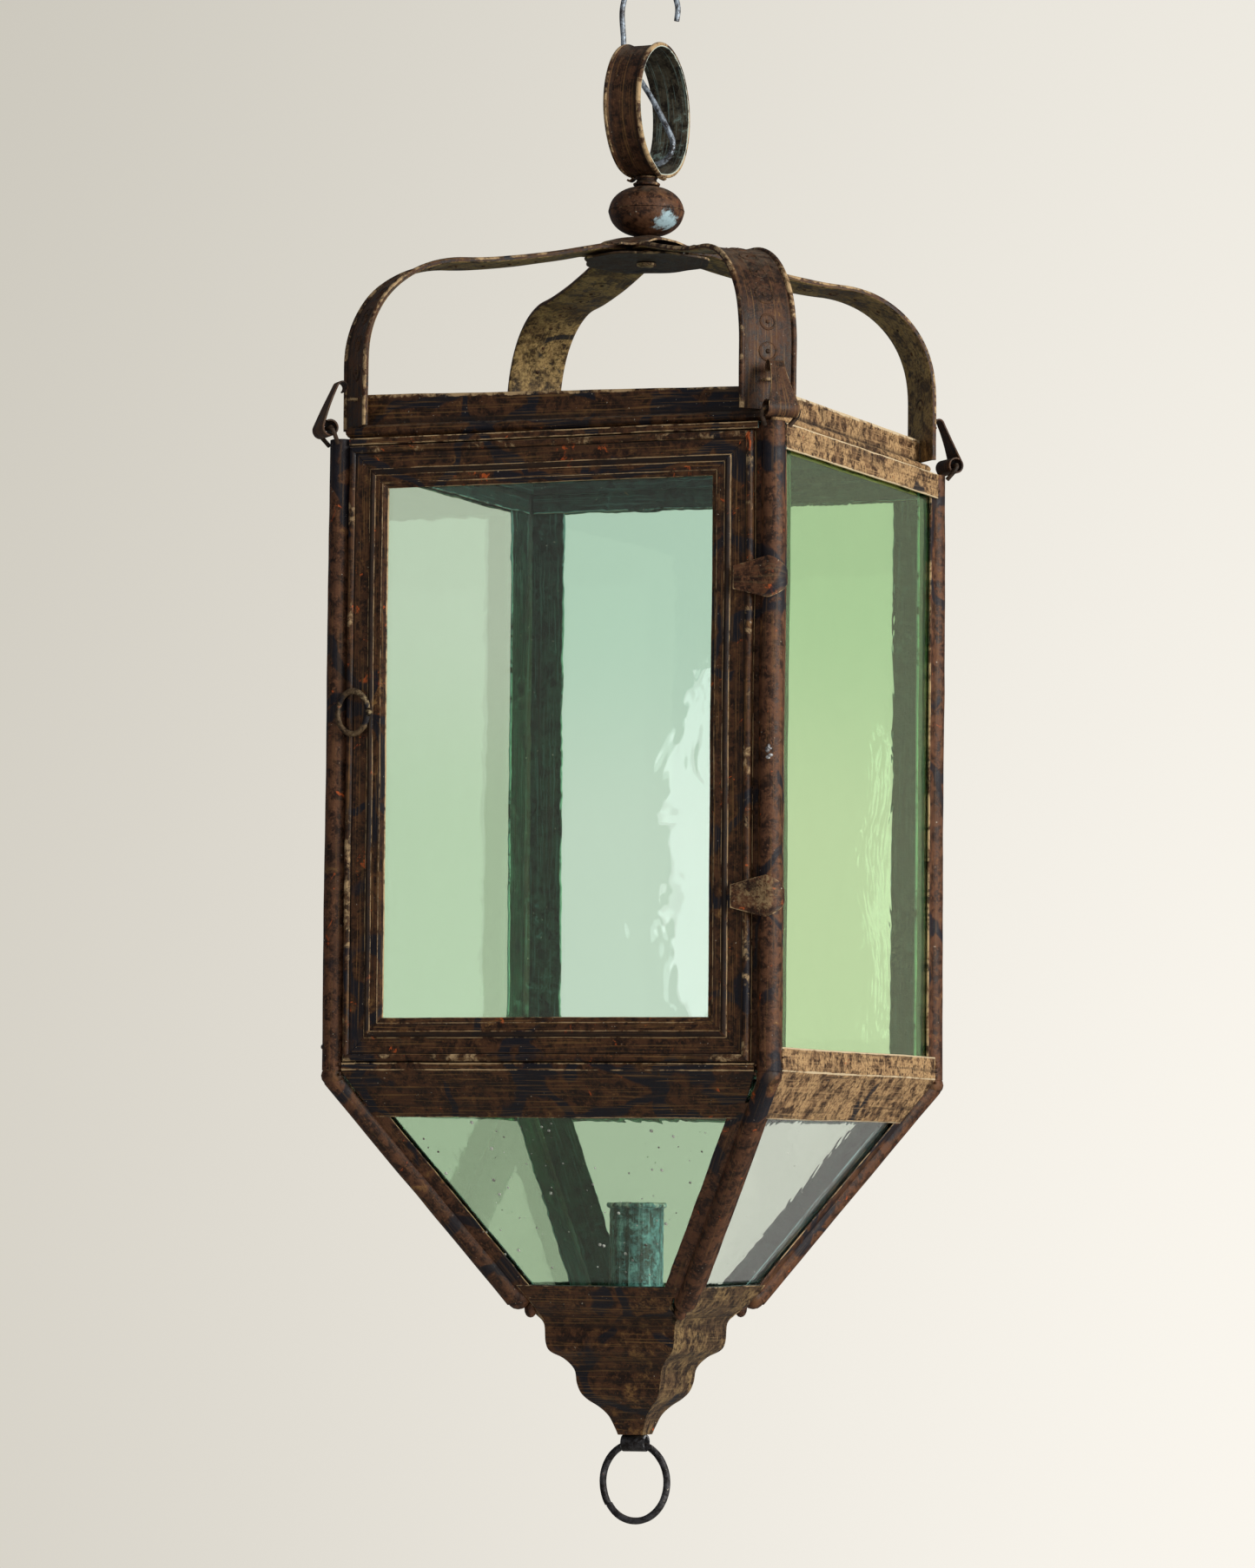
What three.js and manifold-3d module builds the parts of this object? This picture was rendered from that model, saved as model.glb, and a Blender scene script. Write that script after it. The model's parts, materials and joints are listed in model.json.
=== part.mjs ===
// Hanging tin lantern: a square glazed body with a hinged door, a tapered glazed hopper with a candle
// cup, a lift-off crown of four strap arms held by corner clasps, and a hanging ring with a wire hook.
// Millimetres, +Z up. The origin is the hanging point, the inside top of the hanging ring. The door
// faces -Y. Inside the lantern group, z = 0 is the fold between the body and the hopper.
import * as THREE from 'three';
import { mergeVertices } from 'three/addons/utils/BufferGeometryUtils.js';
import Module from 'manifold-3d';

const wasm = await Module();
wasm.setup();

// ---- driving dimensions ----
const postSpacing = 226;         // between post axes
const postDiameter = 11.5;
const postWall = 0.9;
const bodyTop = 311;             // top of the posts and top rails
const sheet = 1.2;               // folded tin strip
const thinSheet = 0.9;
const glass = 2.2;
const gap = 0.3;                 // between pieces that touch
const looseGap = 0.6;            // between pieces that move past each other

const railDepth = 9;             // front to back of a folded rail
const topRailHeight = 12.5;
const bottomRailHeight = 11.2;
const bottomRailFloor = 4;
const lipReach = 5.5;            // how far an outer glazing lip stands beyond its post
const innerLipReach = 17;        // the inner lips are wide flat strips
const paneInset = 2.2;           // from a post's side to the edge of a pane

const doorBottom = 8;
const doorTopGap = 4;            // the door stops this far under the body's top
const doorLatchGap = 0.6;        // beside the latch post
const doorHingeGap = 2.8;        // beside the hinge post, where the hinge straps pass
const doorDepth = 5.7;
const stileWidth = 21;
const doorRabbet = 4;            // how far the door frame laps over its pane
const hingeStrapHeight = 20;
const hingeStrapLength = 9;      // on the face of the stile
const hingeStrapInset = [78, 70]; // strap centres from the door's bottom and from its top
const hingeWrap = [195, 375];    // degrees round the hinge post

const pullWire = 3;
const pullWidth = 19;
const pullHeight = 24;
const pullZ = 177;
const pullInset = 13;            // from the door's free edge to the pull's shank
const pullOpening = 16;          // degrees left open in the ring
const pullTail = 6;              // clenched over behind the stile

const hopperHeight = 111.5;
const hopperFoot = 42;           // half side at the foot of the hopper
const ribDiameter = 10.5;
const ribWall = 0.9;
const hopperBand = 21;           // sloping band under the bottom rail, along the slope
const footBand = 15;             // sloping band at the foot of the panes, along the slope
const ribStartDrop = 3;          // from the fold down to the start of a rib's axis
const ribEndRise = 5.5;          // from the hopper's foot up to the end of a rib's axis
const hopperPaneTop = 6.5;       // along the slope, from the fold to a pane's upper edge
const hopperPaneFoot = 11;       // along the slope, from a pane's lower edge to the hopper's foot

const finialDrop = 62.2;         // below the hopper's foot
const finialNeckHalf = 6.4;
const trayRise = 9.5;            // above the hopper's foot
const cupDiameter = 26.7;
const cupHeight = 43;
const cupWall = 1;
const cupRim = 1.3;              // radius of the rolled rim

const stapleLength = 12.5;
const stapleDiameter = 8.4;
const ringWire = 3.6;
const bottomRingOpenAt = 215;    // degrees, seen from the door's side
const bottomRingOpening = 4;
const bottomRingFlat = 1.5;      // the top of the ring is flattened by this much
const bottomRingWidth = 37.4;
const bottomRingHeight = 41.7;

const crownInset = 6;            // from the post axes in to the outer face of the crown's band
const crownHeight = 18;          // of the band above the body's top; so are the rises below
const crownLap = 2.2;            // the band reaches this far down inside the body
const beadRadius = 2.9;          // half-round bead on the band
const armWidth = 29.5;
const armSheet = 1.5;
const armRim = 1.2;              // height of the raised edges of an arm
const armRimWidth = 2.6;
const armShoulderRise = 38;      // where an arm leaves the vertical
const armBendRise = 90;
const armBendDepth = 49.1;       // from an arm's foot in to where its bend ends
const armHubRise = 102;
const armHubReach = 30;
const armEnd = 17;
const catchReach = 3.4;          // tab that a clasp goes over
const catchWidth = 6;

const hubPlateRadius = 33;
const hubCapRadius = 24;
const ballDiameter = 38.3;
const ballHeight = 25.4;
const ballRise = 9.4;            // from the arms' hub up to the ball
const ballWall = 1;
const spindleRadius = 2.4;
const neckRadius = 6;
const neckHeight = 4.6;
const ringDiameter = 68;
const ringBand = 20;
const ringSheet = 1.2;
const ringRim = 1.2;
const ringRimWidth = 2.4;

const claspPinWire = 2.2;
const claspPinOut = 3;           // pin axis beyond the outer side of the post
const claspPinLength = 19;
const claspPinFootDrop = 2.4;    // the feet end this far under the body's top, above the door
const claspEye = 7.4;
const claspEyeLength = 16;
const claspSheet = 0.8;
const claspWidth = 9;
const claspCurl = 5.2;
const claspRise = 21;            // curl axis above the pin
const claspLean = 7.6;           // curl axis inside the pin
const claspPinRise = claspEye / 2 + 1.3;        // above the body's top
const claspPinFootIn = claspEye / 2 + 0.7;      // from the pin in to its feet on the post
const claspPinBend = claspEye / 2 - 0.5;        // height of the bend between its foot and its pin
const catchDrop = 5;             // the tab is this far under the curl's axis

const hookWire = 2.8;

// ---- derived places ----
const half = postSpacing / 2;
const postRadius = postDiameter / 2;
const diagonal = Math.SQRT2;
const slope = (half - hopperFoot) / hopperHeight;       // inward per unit down
const slopeLength = Math.hypot(1, slope);
const down = new THREE.Vector2(-slope, -1).divideScalar(slopeLength);
const out = new THREE.Vector2(1, -slope).divideScalar(slopeLength);
const railOuter = half + railDepth / 2;
const doorFront = half + postRadius;                    // distance from the lantern's axis
const doorHeight = bodyTop - doorTopGap - doorBottom;
const hingeStrapZ = [doorBottom + hingeStrapInset[0], doorBottom + doorHeight - hingeStrapInset[1]];
const bandOuter = (railOuter - half) * out.x + bottomRailFloor * out.y;   // of the slope's outer skin
const ribRadius = ribDiameter / 2;
const ribClear = (ribRadius + looseGap) * Math.hypot(1, slope / slopeLength) + gap;
const ringRadius = ringDiameter / 2;
const ringInner = ringRadius - ringRim - ringSheet;
const crownHalf = half - crownInset;
const crownTop = bodyTop + crownHeight;
const armHubZ = bodyTop + armHubRise;
const ballBottom = armHubZ + ballRise;
const ballTop = ballBottom + ballHeight;
const ringCentre = ballTop + neckHeight + 2 * gap + ringRadius - ringRim;
const hangHeight = ringCentre + ringInner;
const finialTip = -hopperHeight - finialDrop;

// ---- materials ----
const tin = (color, roughness = 0.62, metalness = 0.55) =>
  new THREE.MeshStandardMaterial({ color, roughness, metalness });
const paint = { brown: 0x4a3222, umber: 0x3a2418, ochre: 0x7a5c38, teal: 0x3f6f6c, wire: 0x5f666c };
const pane = (color) => new THREE.MeshStandardMaterial({
  color, roughness: 0.06, metalness: 0, transparent: true, opacity: 0.4 });
const paneGreen = 0xb9d8c4;

const lantern = new THREE.Group();
lantern.position.z = -hangHeight;

function add(name, geometry, material, place = () => {}) {
  const mesh = new THREE.Mesh(geometry, material);
  mesh.name = name;
  place(mesh);
  lantern.add(mesh);
  return mesh;
}

// ---- geometry helpers ----
const v2 = (x, y) => new THREE.Vector2(x, y);
const v3 = (x, y, z) => new THREE.Vector3(x, y, z);
const polygon = (points) => new THREE.Shape(points.map(([x, y]) => v2(x, y)));

function toSolid(geometry) {
  const bare = geometry.clone();
  bare.deleteAttribute('normal');
  bare.deleteAttribute('uv');
  const merged = mergeVertices(bare, 1e-4);
  return new wasm.Manifold(new wasm.Mesh({
    numProp: 3,
    vertProperties: new Float32Array(merged.attributes.position.array),
    triVerts: new Uint32Array(merged.index.array),
  }));
}

function toGeometry(solid) {
  const mesh = solid.getMesh();
  const geometry = new THREE.BufferGeometry();
  const points = new Float32Array(mesh.numVert * 3);
  for (let i = 0; i < mesh.numVert; i += 1) {
    points.set(mesh.vertProperties.slice(i * mesh.numProp, i * mesh.numProp + 3), i * 3);
  }
  geometry.setAttribute('position', new THREE.BufferAttribute(points, 3));
  geometry.setIndex([...mesh.triVerts]);
  geometry.computeVertexNormals();
  return geometry;
}

const join = (...parts) => toGeometry(parts.map(toSolid).reduce((a, b) => a.add(b)));
const cut = (body, ...tools) =>
  toGeometry(tools.map(toSolid).reduce((a, b) => a.subtract(b), toSolid(body)));

function box(x0, x1, y0, y1, z0, z1) {
  const geometry = new THREE.BoxGeometry(x1 - x0, y1 - y0, z1 - z0);
  return geometry.translate((x0 + x1) / 2, (y0 + y1) / 2, (z0 + z1) / 2);
}

// A closed outline of (radius, height) points turned round the Z axis.
function turned(points, segments) {
  const closed = [...points, points[0]].map(([r, z]) => v2(r, z));
  return new THREE.LatheGeometry(closed, segments).rotateX(Math.PI / 2);
}

// A solid rod along Z between two heights.
function rod(radius, z0, z1, segments = 20) {
  const geometry = new THREE.CylinderGeometry(radius, radius, z1 - z0, segments);
  return geometry.rotateX(Math.PI / 2).translate(0, 0, (z0 + z1) / 2);
}

function tube(outer, inner, z0, z1, segments = 20) {
  return turned([[inner, z0], [outer, z0], [outer, z1], [inner, z1]], segments);
}

// A strip of a square frame on the +X side: its section is in (distance from the axis, height), and
// its half length may change from corner to corner of the section.
function sideStrip(section, halfLength) {
  const geometry = new THREE.ExtrudeGeometry(section, { depth: 1, bevelEnabled: false });
  const position = geometry.attributes.position;
  for (let i = 0; i < position.count; i += 1) {
    const reach = position.getX(i);
    const height = position.getY(i);
    const along = (1 - 2 * position.getZ(i)) * halfLength(reach, height);
    position.setXYZ(i, reach, along, height);
  }
  geometry.computeVertexNormals();
  return geometry;
}

// A line of points given a thickness to its right-hand side.
function thicken(points, wall) {
  const inner = points.map((point, i) => {
    const before = points[Math.max(i - 1, 0)];
    const after = points[Math.min(i + 1, points.length - 1)];
    const normal = v2(after.y - before.y, before.x - after.x).normalize();
    return point.clone().addScaledVector(normal, wall);
  });
  return new THREE.Shape([...points, ...inner.reverse()]);
}

const roundSection = (radius, sides = 10) => {
  const section = new THREE.Shape();
  const corner = (i) => {
    const angle = 2 * Math.PI * i / sides;
    return [radius * Math.cos(angle), radius * Math.sin(angle)];
  };
  section.moveTo(...corner(0));
  for (let i = 1; i < sides; i += 1) section.lineTo(...corner(i));
  section.closePath();
  return section;
};

const wire = (path, diameter, steps, sides) =>
  new THREE.ExtrudeGeometry(roundSection(diameter / 2, sides), { extrudePath: path, steps });

function polyline(points) {
  const path = new THREE.CurvePath();
  for (let i = 1; i < points.length; i += 1) {
    path.add(new THREE.LineCurve3(points[i - 1], points[i]));
  }
  return path;
}

const quarterTurn = (mesh, turns) => { mesh.rotation.z = turns * Math.PI / 2; };
const eighthTurn = (mesh, turns) => { mesh.rotation.z = (turns + 0.5) * Math.PI / 2; };
const sides = [['right', 0], ['back', 1], ['left', 2], ['front', 3]];
const corners = [['back_right', 0], ['back_left', 1], ['front_left', 2], ['front_right', 3]];

// ---- body: posts with glazing lips ----
const paneHalf = half - postRadius - paneInset;         // panes stop here, inside the lips
const lipOffset = glass / 2 + gap;
const strapRadius = postRadius + gap + thinSheet;

// A pair of lips with the pane's groove between them, or on the door side one lip that the door
// closes against, reaching from the post towards +Y. Outward is +X.
const postFoot = bottomRailFloor - gap;
function lipsOf(doorSide) {
  const low = bottomRailFloor + sheet + gap - postFoot;
  const high = bodyTop - sheet - gap - postFoot;
  const lip = (x, reach) => box(x, x + sheet, 0, postRadius + reach, low, high);
  const stop = doorFront - doorDepth - half - gap - sheet;
  return doorSide ? [lip(stop, lipReach)]
    : [lip(-lipOffset - sheet, innerLipReach), lip(lipOffset, lipReach)];
}

for (const [corner, turns] of corners) {
  const latch = corner === 'front_left';
  const hinge = corner === 'front_right';
  // In the corner's own frame its walls run towards -X and towards -Y from the post.
  const firstWall = lipsOf(latch).map((lip) => lip.rotateZ(Math.PI / 2));
  const secondWall = lipsOf(hinge).map((lip) => lip.scale(-1, 1, 1).rotateZ(Math.PI));
  for (const lip of secondWall) lip.index.array.reverse();
  const shell = rod(postRadius, 0, bodyTop - postFoot);
  const bore = rod(postRadius - postWall, -1, bodyTop);
  const strapRooms = hinge ? hingeStrapZ.map((z) => {
    const low = z - hingeStrapHeight / 2 - looseGap - postFoot;
    return tube(strapRadius + looseGap, postRadius, low, low + hingeStrapHeight + 2 * looseGap, 32);
  }) : [];
  const post = cut(join(shell, ...firstWall, ...secondWall), bore, ...strapRooms);
  add(`post_${corner}`, post, tin(paint.brown), (mesh) => {
    mesh.position.set(...[[half, half], [-half, half], [-half, -half], [half, -half]][turns], postFoot);
    quarterTurn(mesh, turns);
  });
}

// ---- body: rails ----
const railHalf = half - postRadius - gap;
const railInner = half - railDepth / 2;

// A folded channel with its mouth down; the door side has no outer leg below the door's top.
function topRailSection(doorSide) {
  const low = bodyTop - topRailHeight;
  const legEnd = doorSide ? doorBottom + doorHeight + looseGap : low;
  return polygon([
    [railInner, low], [railInner + sheet, low], [railInner + sheet, bodyTop - sheet],
    [railOuter - sheet, bodyTop - sheet], [railOuter - sheet, legEnd], [railOuter, legEnd],
    [railOuter, bodyTop], [railInner, bodyTop],
  ]);
}

const slopePoint = (along, offset) => [
  half + along * down.x + offset * out.x,
  along * down.y + offset * out.y,
];

// A folded channel with its mouth up, whose outer skin carries on down the slope of the hopper.
function bottomRailSection(doorSide) {
  const floor = bottomRailFloor;
  const high = floor + bottomRailHeight;
  const legEnd = doorSide ? doorBottom - looseGap : high;
  const inside = bandOuter - sheet;
  const start = (inside * out.y - floor) / -down.y;
  return polygon([
    [railOuter, floor], [railOuter, legEnd], [railOuter - sheet, legEnd],
    [railOuter - sheet, floor + sheet], [railInner + sheet, floor + sheet], [railInner + sheet, high],
    [railInner, high], [railInner, floor], slopePoint(start, inside),
    slopePoint(hopperBand, inside), slopePoint(hopperBand, bandOuter),
  ]);
}

const ribLimit = (z) => half + slope * z - ribClear;
for (const [side, turns] of sides) {
  const doorSide = side === 'front';
  const colour = side === 'right' ? paint.ochre : paint.brown;
  add(`top_rail_${side}`, sideStrip(topRailSection(doorSide), () => railHalf), tin(colour),
    (mesh) => quarterTurn(mesh, turns));
  const halfLength = (r, z) => Math.min(railHalf, ribLimit(z));
  add(`bottom_rail_${side}`, sideStrip(bottomRailSection(doorSide), halfLength), tin(colour),
    (mesh) => quarterTurn(mesh, turns));
}

// ---- body: side panes ----
for (const [side, turns] of sides.slice(0, 3)) {
  const low = bottomRailFloor + sheet + gap;
  const high = bodyTop - sheet - gap;
  add(`pane_${side}`, box(half - glass / 2, half + glass / 2, -paneHalf, paneHalf, low, high),
    pane(paneGreen), (mesh) => quarterTurn(mesh, turns));
}

// ---- door ----
const doorLeft = -half + postRadius + doorLatchGap;
const doorRight = half - postRadius - doorHingeGap;
const doorWidth = doorRight - doorLeft;
const doorBack = doorFront - doorDepth;
const doorCentre = v2((doorLeft + doorRight) / 2, doorBottom + doorHeight / 2);
const paneSeat = doorBack + glass + gap;

// Section of a stile: (distance inward from the door's edge, depth below its front).
const stileSection = [
  [0, 1.4], [1.4, 0], [3.4, 0], [4.4, 1.1], [12, 1.1], [12.6, 0.5], [stileWidth - 3, 0.5],
  [stileWidth, 2], [stileWidth, doorFront - paneSeat], [stileWidth - doorRabbet, doorFront - paneSeat],
  [stileWidth - doorRabbet, doorDepth], [0, doorDepth],
];
const mitreGap = gap / diagonal;

// The four members of the frame are mitred: each is a strip whose ends follow its section inward.
// It is made with its reach along X, its length along Y and its front up.
function doorMember(span, otherSpan) {
  const section = polygon(stileSection.map(([inward, depth]) => [span / 2 - inward, -depth]));
  return sideStrip(section, (reach) => otherSpan / 2 - (span / 2 - reach) - mitreGap);
}

const doorMembers = [
  ['door_stile_hinge', 0, doorWidth, doorHeight], ['door_rail_top', 1, doorHeight, doorWidth],
  ['door_stile_latch', 2, doorWidth, doorHeight], ['door_rail_bottom', 3, doorHeight, doorWidth],
];
for (const [name, turns, span, otherSpan] of doorMembers) {
  const geometry = doorMember(span, otherSpan).rotateZ(turns * Math.PI / 2).rotateX(Math.PI / 2);
  const place = (mesh) => mesh.position.set(doorCentre.x, -doorFront, doorCentre.y);
  add(name, geometry, tin(paint.umber), place);
}
const paneWide = doorWidth / 2 - (stileWidth - doorRabbet + gap);
const paneTall = doorHeight / 2 - (stileWidth - doorRabbet + gap);
add('door_pane', box(-paneWide, paneWide, -doorBack - glass, -doorBack, -paneTall, paneTall),
  pane(paneGreen), (mesh) => mesh.position.set(doorCentre.x, 0, doorCentre.y));

// Hinge straps: a tin tongue lies on the stile and wraps round the hinge post.
function hingeStrap() {
  const inner = postRadius + gap;
  const outer = inner + thinSheet;
  const [from, to] = hingeWrap.map((degrees) => degrees * Math.PI / 180);
  const band = new THREE.Shape();
  band.absarc(0, 0, outer, from, to, false);
  band.absarc(0, 0, inner, to, from, true);
  const settings = { depth: hingeStrapHeight, bevelEnabled: false, curveSegments: 12 };
  const wrap = new THREE.ExtrudeGeometry(band, settings);
  const reach = postRadius + doorHingeGap + hingeStrapLength;
  const leg = box(-reach, 0, -outer, -inner, 0, hingeStrapHeight);
  return join(wrap, leg);
}
hingeStrapZ.forEach((z, i) => {
  add(`hinge_strap_${['lower', 'upper'][i]}`, hingeStrap(), tin(paint.umber),
    (mesh) => mesh.position.set(half, -half, z - hingeStrapHeight / 2));
});

// Pull: a wire ring on a shank that goes through the latch stile and is clenched behind it.
const pullX = doorLeft + pullInset;

// An open wire loop in the XZ plane, its ends a little way apart at an angle seen from -Y.
function wireLoop(width, height, diameter, openAt, openBy, steps, flatten = 0) {
  const wide = (width - diameter) / 2;
  const tall = (height - diameter) / 2;
  const points = [];
  for (let i = 0; i <= steps; i += 1) {
    const angle = (openAt + openBy / 2 + (360 - openBy) * i / steps) * Math.PI / 180;
    const rise = Math.min(tall * Math.sin(angle), tall - flatten);
    points.push(v3(wide * Math.cos(angle), 0, rise));
  }
  return wire(new THREE.CatmullRomCurve3(points), diameter, steps, 8);
}

function doorPull() {
  const wireRadius = pullWire / 2;
  const plane = doorFront + gap + wireRadius;
  const ring = wireLoop(pullWidth, pullHeight, pullWire, 0, pullOpening, 20);
  ring.translate(-(pullWidth - pullWire) / 2, -plane, 0);
  const clench = doorBack - gap - pullWire;
  const shank = rod(wireRadius, clench, plane + wireRadius / 2, 10).rotateX(Math.PI / 2);
  const tail = box(-pullTail, wireRadius, -clench - wireRadius, -clench, -wireRadius, wireRadius);
  return join(ring, shank, tail);
}
const pullHole = rod(pullWire / 2 + gap, -doorDepth * 2, doorDepth * 2, 16);
const latchStile = lantern.getObjectByName('door_stile_latch');
pullHole.rotateX(Math.PI / 2).translate(pullX - doorCentre.x, 0, pullZ - doorCentre.y);
latchStile.geometry = cut(latchStile.geometry, pullHole);
add('door_pull', doorPull(), tin(paint.umber, 0.5, 0.7), (mesh) => mesh.position.set(pullX, 0, pullZ));

// ---- hopper: ribs, panes, finial, tray and candle cup ----
const cornerDown = v3(-slope, -slope, -1).normalize();
const ribPoint = (drop) => v3(half, half, 0).addScaledVector(cornerDown, drop / -cornerDown.z);
const ribFrom = ribPoint(ribStartDrop);
const ribTo = ribPoint(hopperHeight - ribEndRise);
const ribSection = roundSection(ribRadius, 16);
ribSection.holes.push(new THREE.Path(roundSection(ribRadius - ribWall, 16).getPoints().reverse()));
for (const [corner, turns] of corners) {
  const path = new THREE.LineCurve3(ribFrom, ribTo);
  const rib = new THREE.ExtrudeGeometry(ribSection, { extrudePath: path, steps: 1 });
  add(`hopper_rib_${corner}`, rib, tin(paint.brown), (mesh) => quarterTurn(mesh, turns));
}

const slopeEnd = hopperHeight * slopeLength;
const paneOuter = bandOuter - sheet - gap;
for (const [side, turns] of sides) {
  const low = slopeEnd - hopperPaneFoot;
  const section = polygon([
    slopePoint(low, paneOuter), slopePoint(low, paneOuter - glass),
    slopePoint(hopperPaneTop, paneOuter - glass), slopePoint(hopperPaneTop, paneOuter),
  ]);
  const halfLength = (r, z) => ribLimit(z) - looseGap;
  add(`hopper_pane_${side}`, sideStrip(section, halfLength), pane(paneGreen),
    (mesh) => quarterTurn(mesh, turns));
}

// The finial is four bent plates. Each starts as the band at the foot of its pane, then falls in
// two rounded steps and a flare to a narrow neck.
function finialOutline() {
  const foot = -hopperHeight;
  const drop = (share) => foot - finialDrop * share;
  const wide = (share) => finialNeckHalf + (hopperFoot - finialNeckHalf) * share;
  const path = new THREE.Path();
  const [bandR, bandZ] = slopePoint(slopeEnd - footBand, bandOuter);
  const [footR, footZ] = slopePoint(slopeEnd - 3, bandOuter);
  path.moveTo(bandR, bandZ);
  path.lineTo(footR, footZ);
  path.quadraticCurveTo(wide(0.8), drop(0.07), wide(0.785), drop(0.15));
  path.lineTo(wide(0.765), drop(0.27));
  path.bezierCurveTo(wide(0.74), drop(0.36), wide(0.47), drop(0.38), wide(0.45), drop(0.52));
  path.lineTo(wide(0.42), drop(0.6));
  path.bezierCurveTo(wide(0.36), drop(0.76), wide(0.12), drop(0.72), wide(0.06), drop(0.94));
  path.lineTo(wide(0), drop(1));
  return path;
}
const outline = finialOutline().getPoints(7);
for (const [side, turns] of sides) {
  const section = thicken(outline.map((point) => v2(point.x, point.y)), thinSheet);
  const ribFoot = -hopperHeight + ribEndRise - ribRadius - gap;
  const halfLength = (r, z) => (z > ribFoot ? ribLimit(z) : r - mitreGap);
  add(`finial_plate_${side}`, sideStrip(section, halfLength), tin(paint.brown),
    (mesh) => quarterTurn(mesh, turns));
}

const trayTop = -hopperHeight + trayRise;
const cornerCos = 1 / Math.hypot(1, slope, slope);      // of the rib's lean from the vertical
const trayHalf = half + slope * (trayTop - sheet) - (ribRadius + looseGap) / (diagonal * cornerCos);
add('candle_tray', box(-trayHalf, trayHalf, -trayHalf, trayHalf, trayTop - sheet, trayTop),
  tin(paint.teal));
function candleCup() {
  const outer = cupDiameter / 2;
  const inner = outer - cupWall;
  const foot = trayTop + gap;
  const top = foot + cupHeight;
  const points = [[0, foot], [outer, foot], [outer, top - cupRim * 2]];
  for (let i = 0; i <= 6; i += 1) {
    const angle = -Math.PI / 2 + Math.PI * i / 6;
    points.push([outer + cupRim * (0.2 + Math.cos(angle)), top - cupRim + cupRim * Math.sin(angle)]);
  }
  points.push([inner, top], [inner, foot + cupWall], [0, foot + cupWall]);
  return new THREE.LatheGeometry(points.map(([r, z]) => v2(r, z)), 20).rotateX(Math.PI / 2);
}
add('candle_cup', candleCup(), tin(paint.teal));

// ---- staple and bottom ring ----
const stapleRadius = stapleDiameter / 2;
const stapleZ = finialTip - gap - stapleRadius;
add('ring_staple', tube(stapleRadius, stapleRadius - 1, -stapleLength / 2, stapleLength / 2, 24)
  .rotateY(Math.PI / 2), tin(paint.wire, 0.5, 0.8), (mesh) => { mesh.position.z = stapleZ; });
const ringPivotZ = stapleZ - (stapleRadius - 1) + gap + ringWire / 2;
add('bottom_ring', wireLoop(bottomRingWidth, bottomRingHeight, ringWire, bottomRingOpenAt,
  bottomRingOpening, 32, bottomRingFlat), tin(paint.wire, 0.5, 0.8), (mesh) => {
  mesh.position.z = ringPivotZ - (bottomRingHeight - ringWire) / 2 + bottomRingFlat;
});

// ---- crown: band, arms and hub plates ----
function crownBand() {
  const low = bodyTop - crownLap;
  const seat = bodyTop + gap;
  const face = crownHalf;
  const points = [[face - sheet, low], [face, low], [face, seat]];
  for (let i = 0; i <= 6; i += 1) {
    const angle = -Math.PI / 2 + Math.PI * i / 6;
    const beadZ = seat + beadRadius * (1 + Math.sin(angle));
    points.push([face + 0.1 + beadRadius * 1.6 * Math.cos(angle), beadZ]);
  }
  points.push([face, crownTop], [face - sheet, crownTop]);
  const toCorner = points.map(([r, z]) => [r * diagonal, z]);
  return turned(toCorner, 4).rotateZ(Math.PI / 4);
}
add('crown_band', crownBand(), tin(paint.ochre));

const armFace = crownHalf * diagonal + gap + armSheet;  // outer skin of an arm at the band
const armFoot = bodyTop + gap + beadRadius * 2 + gap;
function armPath() {
  const centre = armFace - armSheet / 2;
  const shoulder = v3(centre, 0, bodyTop + armShoulderRise);
  const bendEnd = v3(armFace - armBendDepth, 0, bodyTop + armBendRise);
  const hub = v3(armHubReach, 0, armHubZ);
  const rise = armBendRise - armShoulderRise;
  const bend = [v3(centre, 0, shoulder.z + rise * 0.62), v3(bendEnd.x + rise / 2, 0, bendEnd.z - 2)];
  const sweep = [v3(bendEnd.x - 25, 0, bendEnd.z + 1), v3(armHubReach + 22, 0, armHubZ - 5)];
  const path = new THREE.CurvePath();
  path.add(new THREE.LineCurve3(v3(centre, 0, armFoot), shoulder));
  path.add(new THREE.CubicBezierCurve3(shoulder, ...bend, bendEnd));
  path.add(new THREE.CubicBezierCurve3(bendEnd, ...sweep, hub));
  path.add(new THREE.LineCurve3(hub, v3(armEnd, 0, armHubZ + 0.6)));
  return path;
}
function armSection() {
  const wide = armWidth / 2;
  const back = -armSheet / 2;
  const face = armSheet / 2;
  return polygon([
    [-wide, back], [wide, back], [wide, face + armRim], [wide - armRimWidth, face + armRim],
    [wide - armRimWidth - 0.8, face], [-wide + armRimWidth + 0.8, face],
    [-wide + armRimWidth, face + armRim], [-wide, face + armRim],
  ]);
}
for (const [corner, turns] of corners) {
  const strap = new THREE.ExtrudeGeometry(armSection(), { extrudePath: armPath(), steps: 26 });
  const catchZ = bodyTop + claspPinRise + claspRise - catchDrop;
  const tab = box(armFace - armSheet, armFace + catchReach, -catchWidth / 2, catchWidth / 2,
    catchZ - sheet, catchZ);
  add(`crown_arm_${corner}`, join(strap, tab), tin(paint.brown), (mesh) => eighthTurn(mesh, turns));
}

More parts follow.
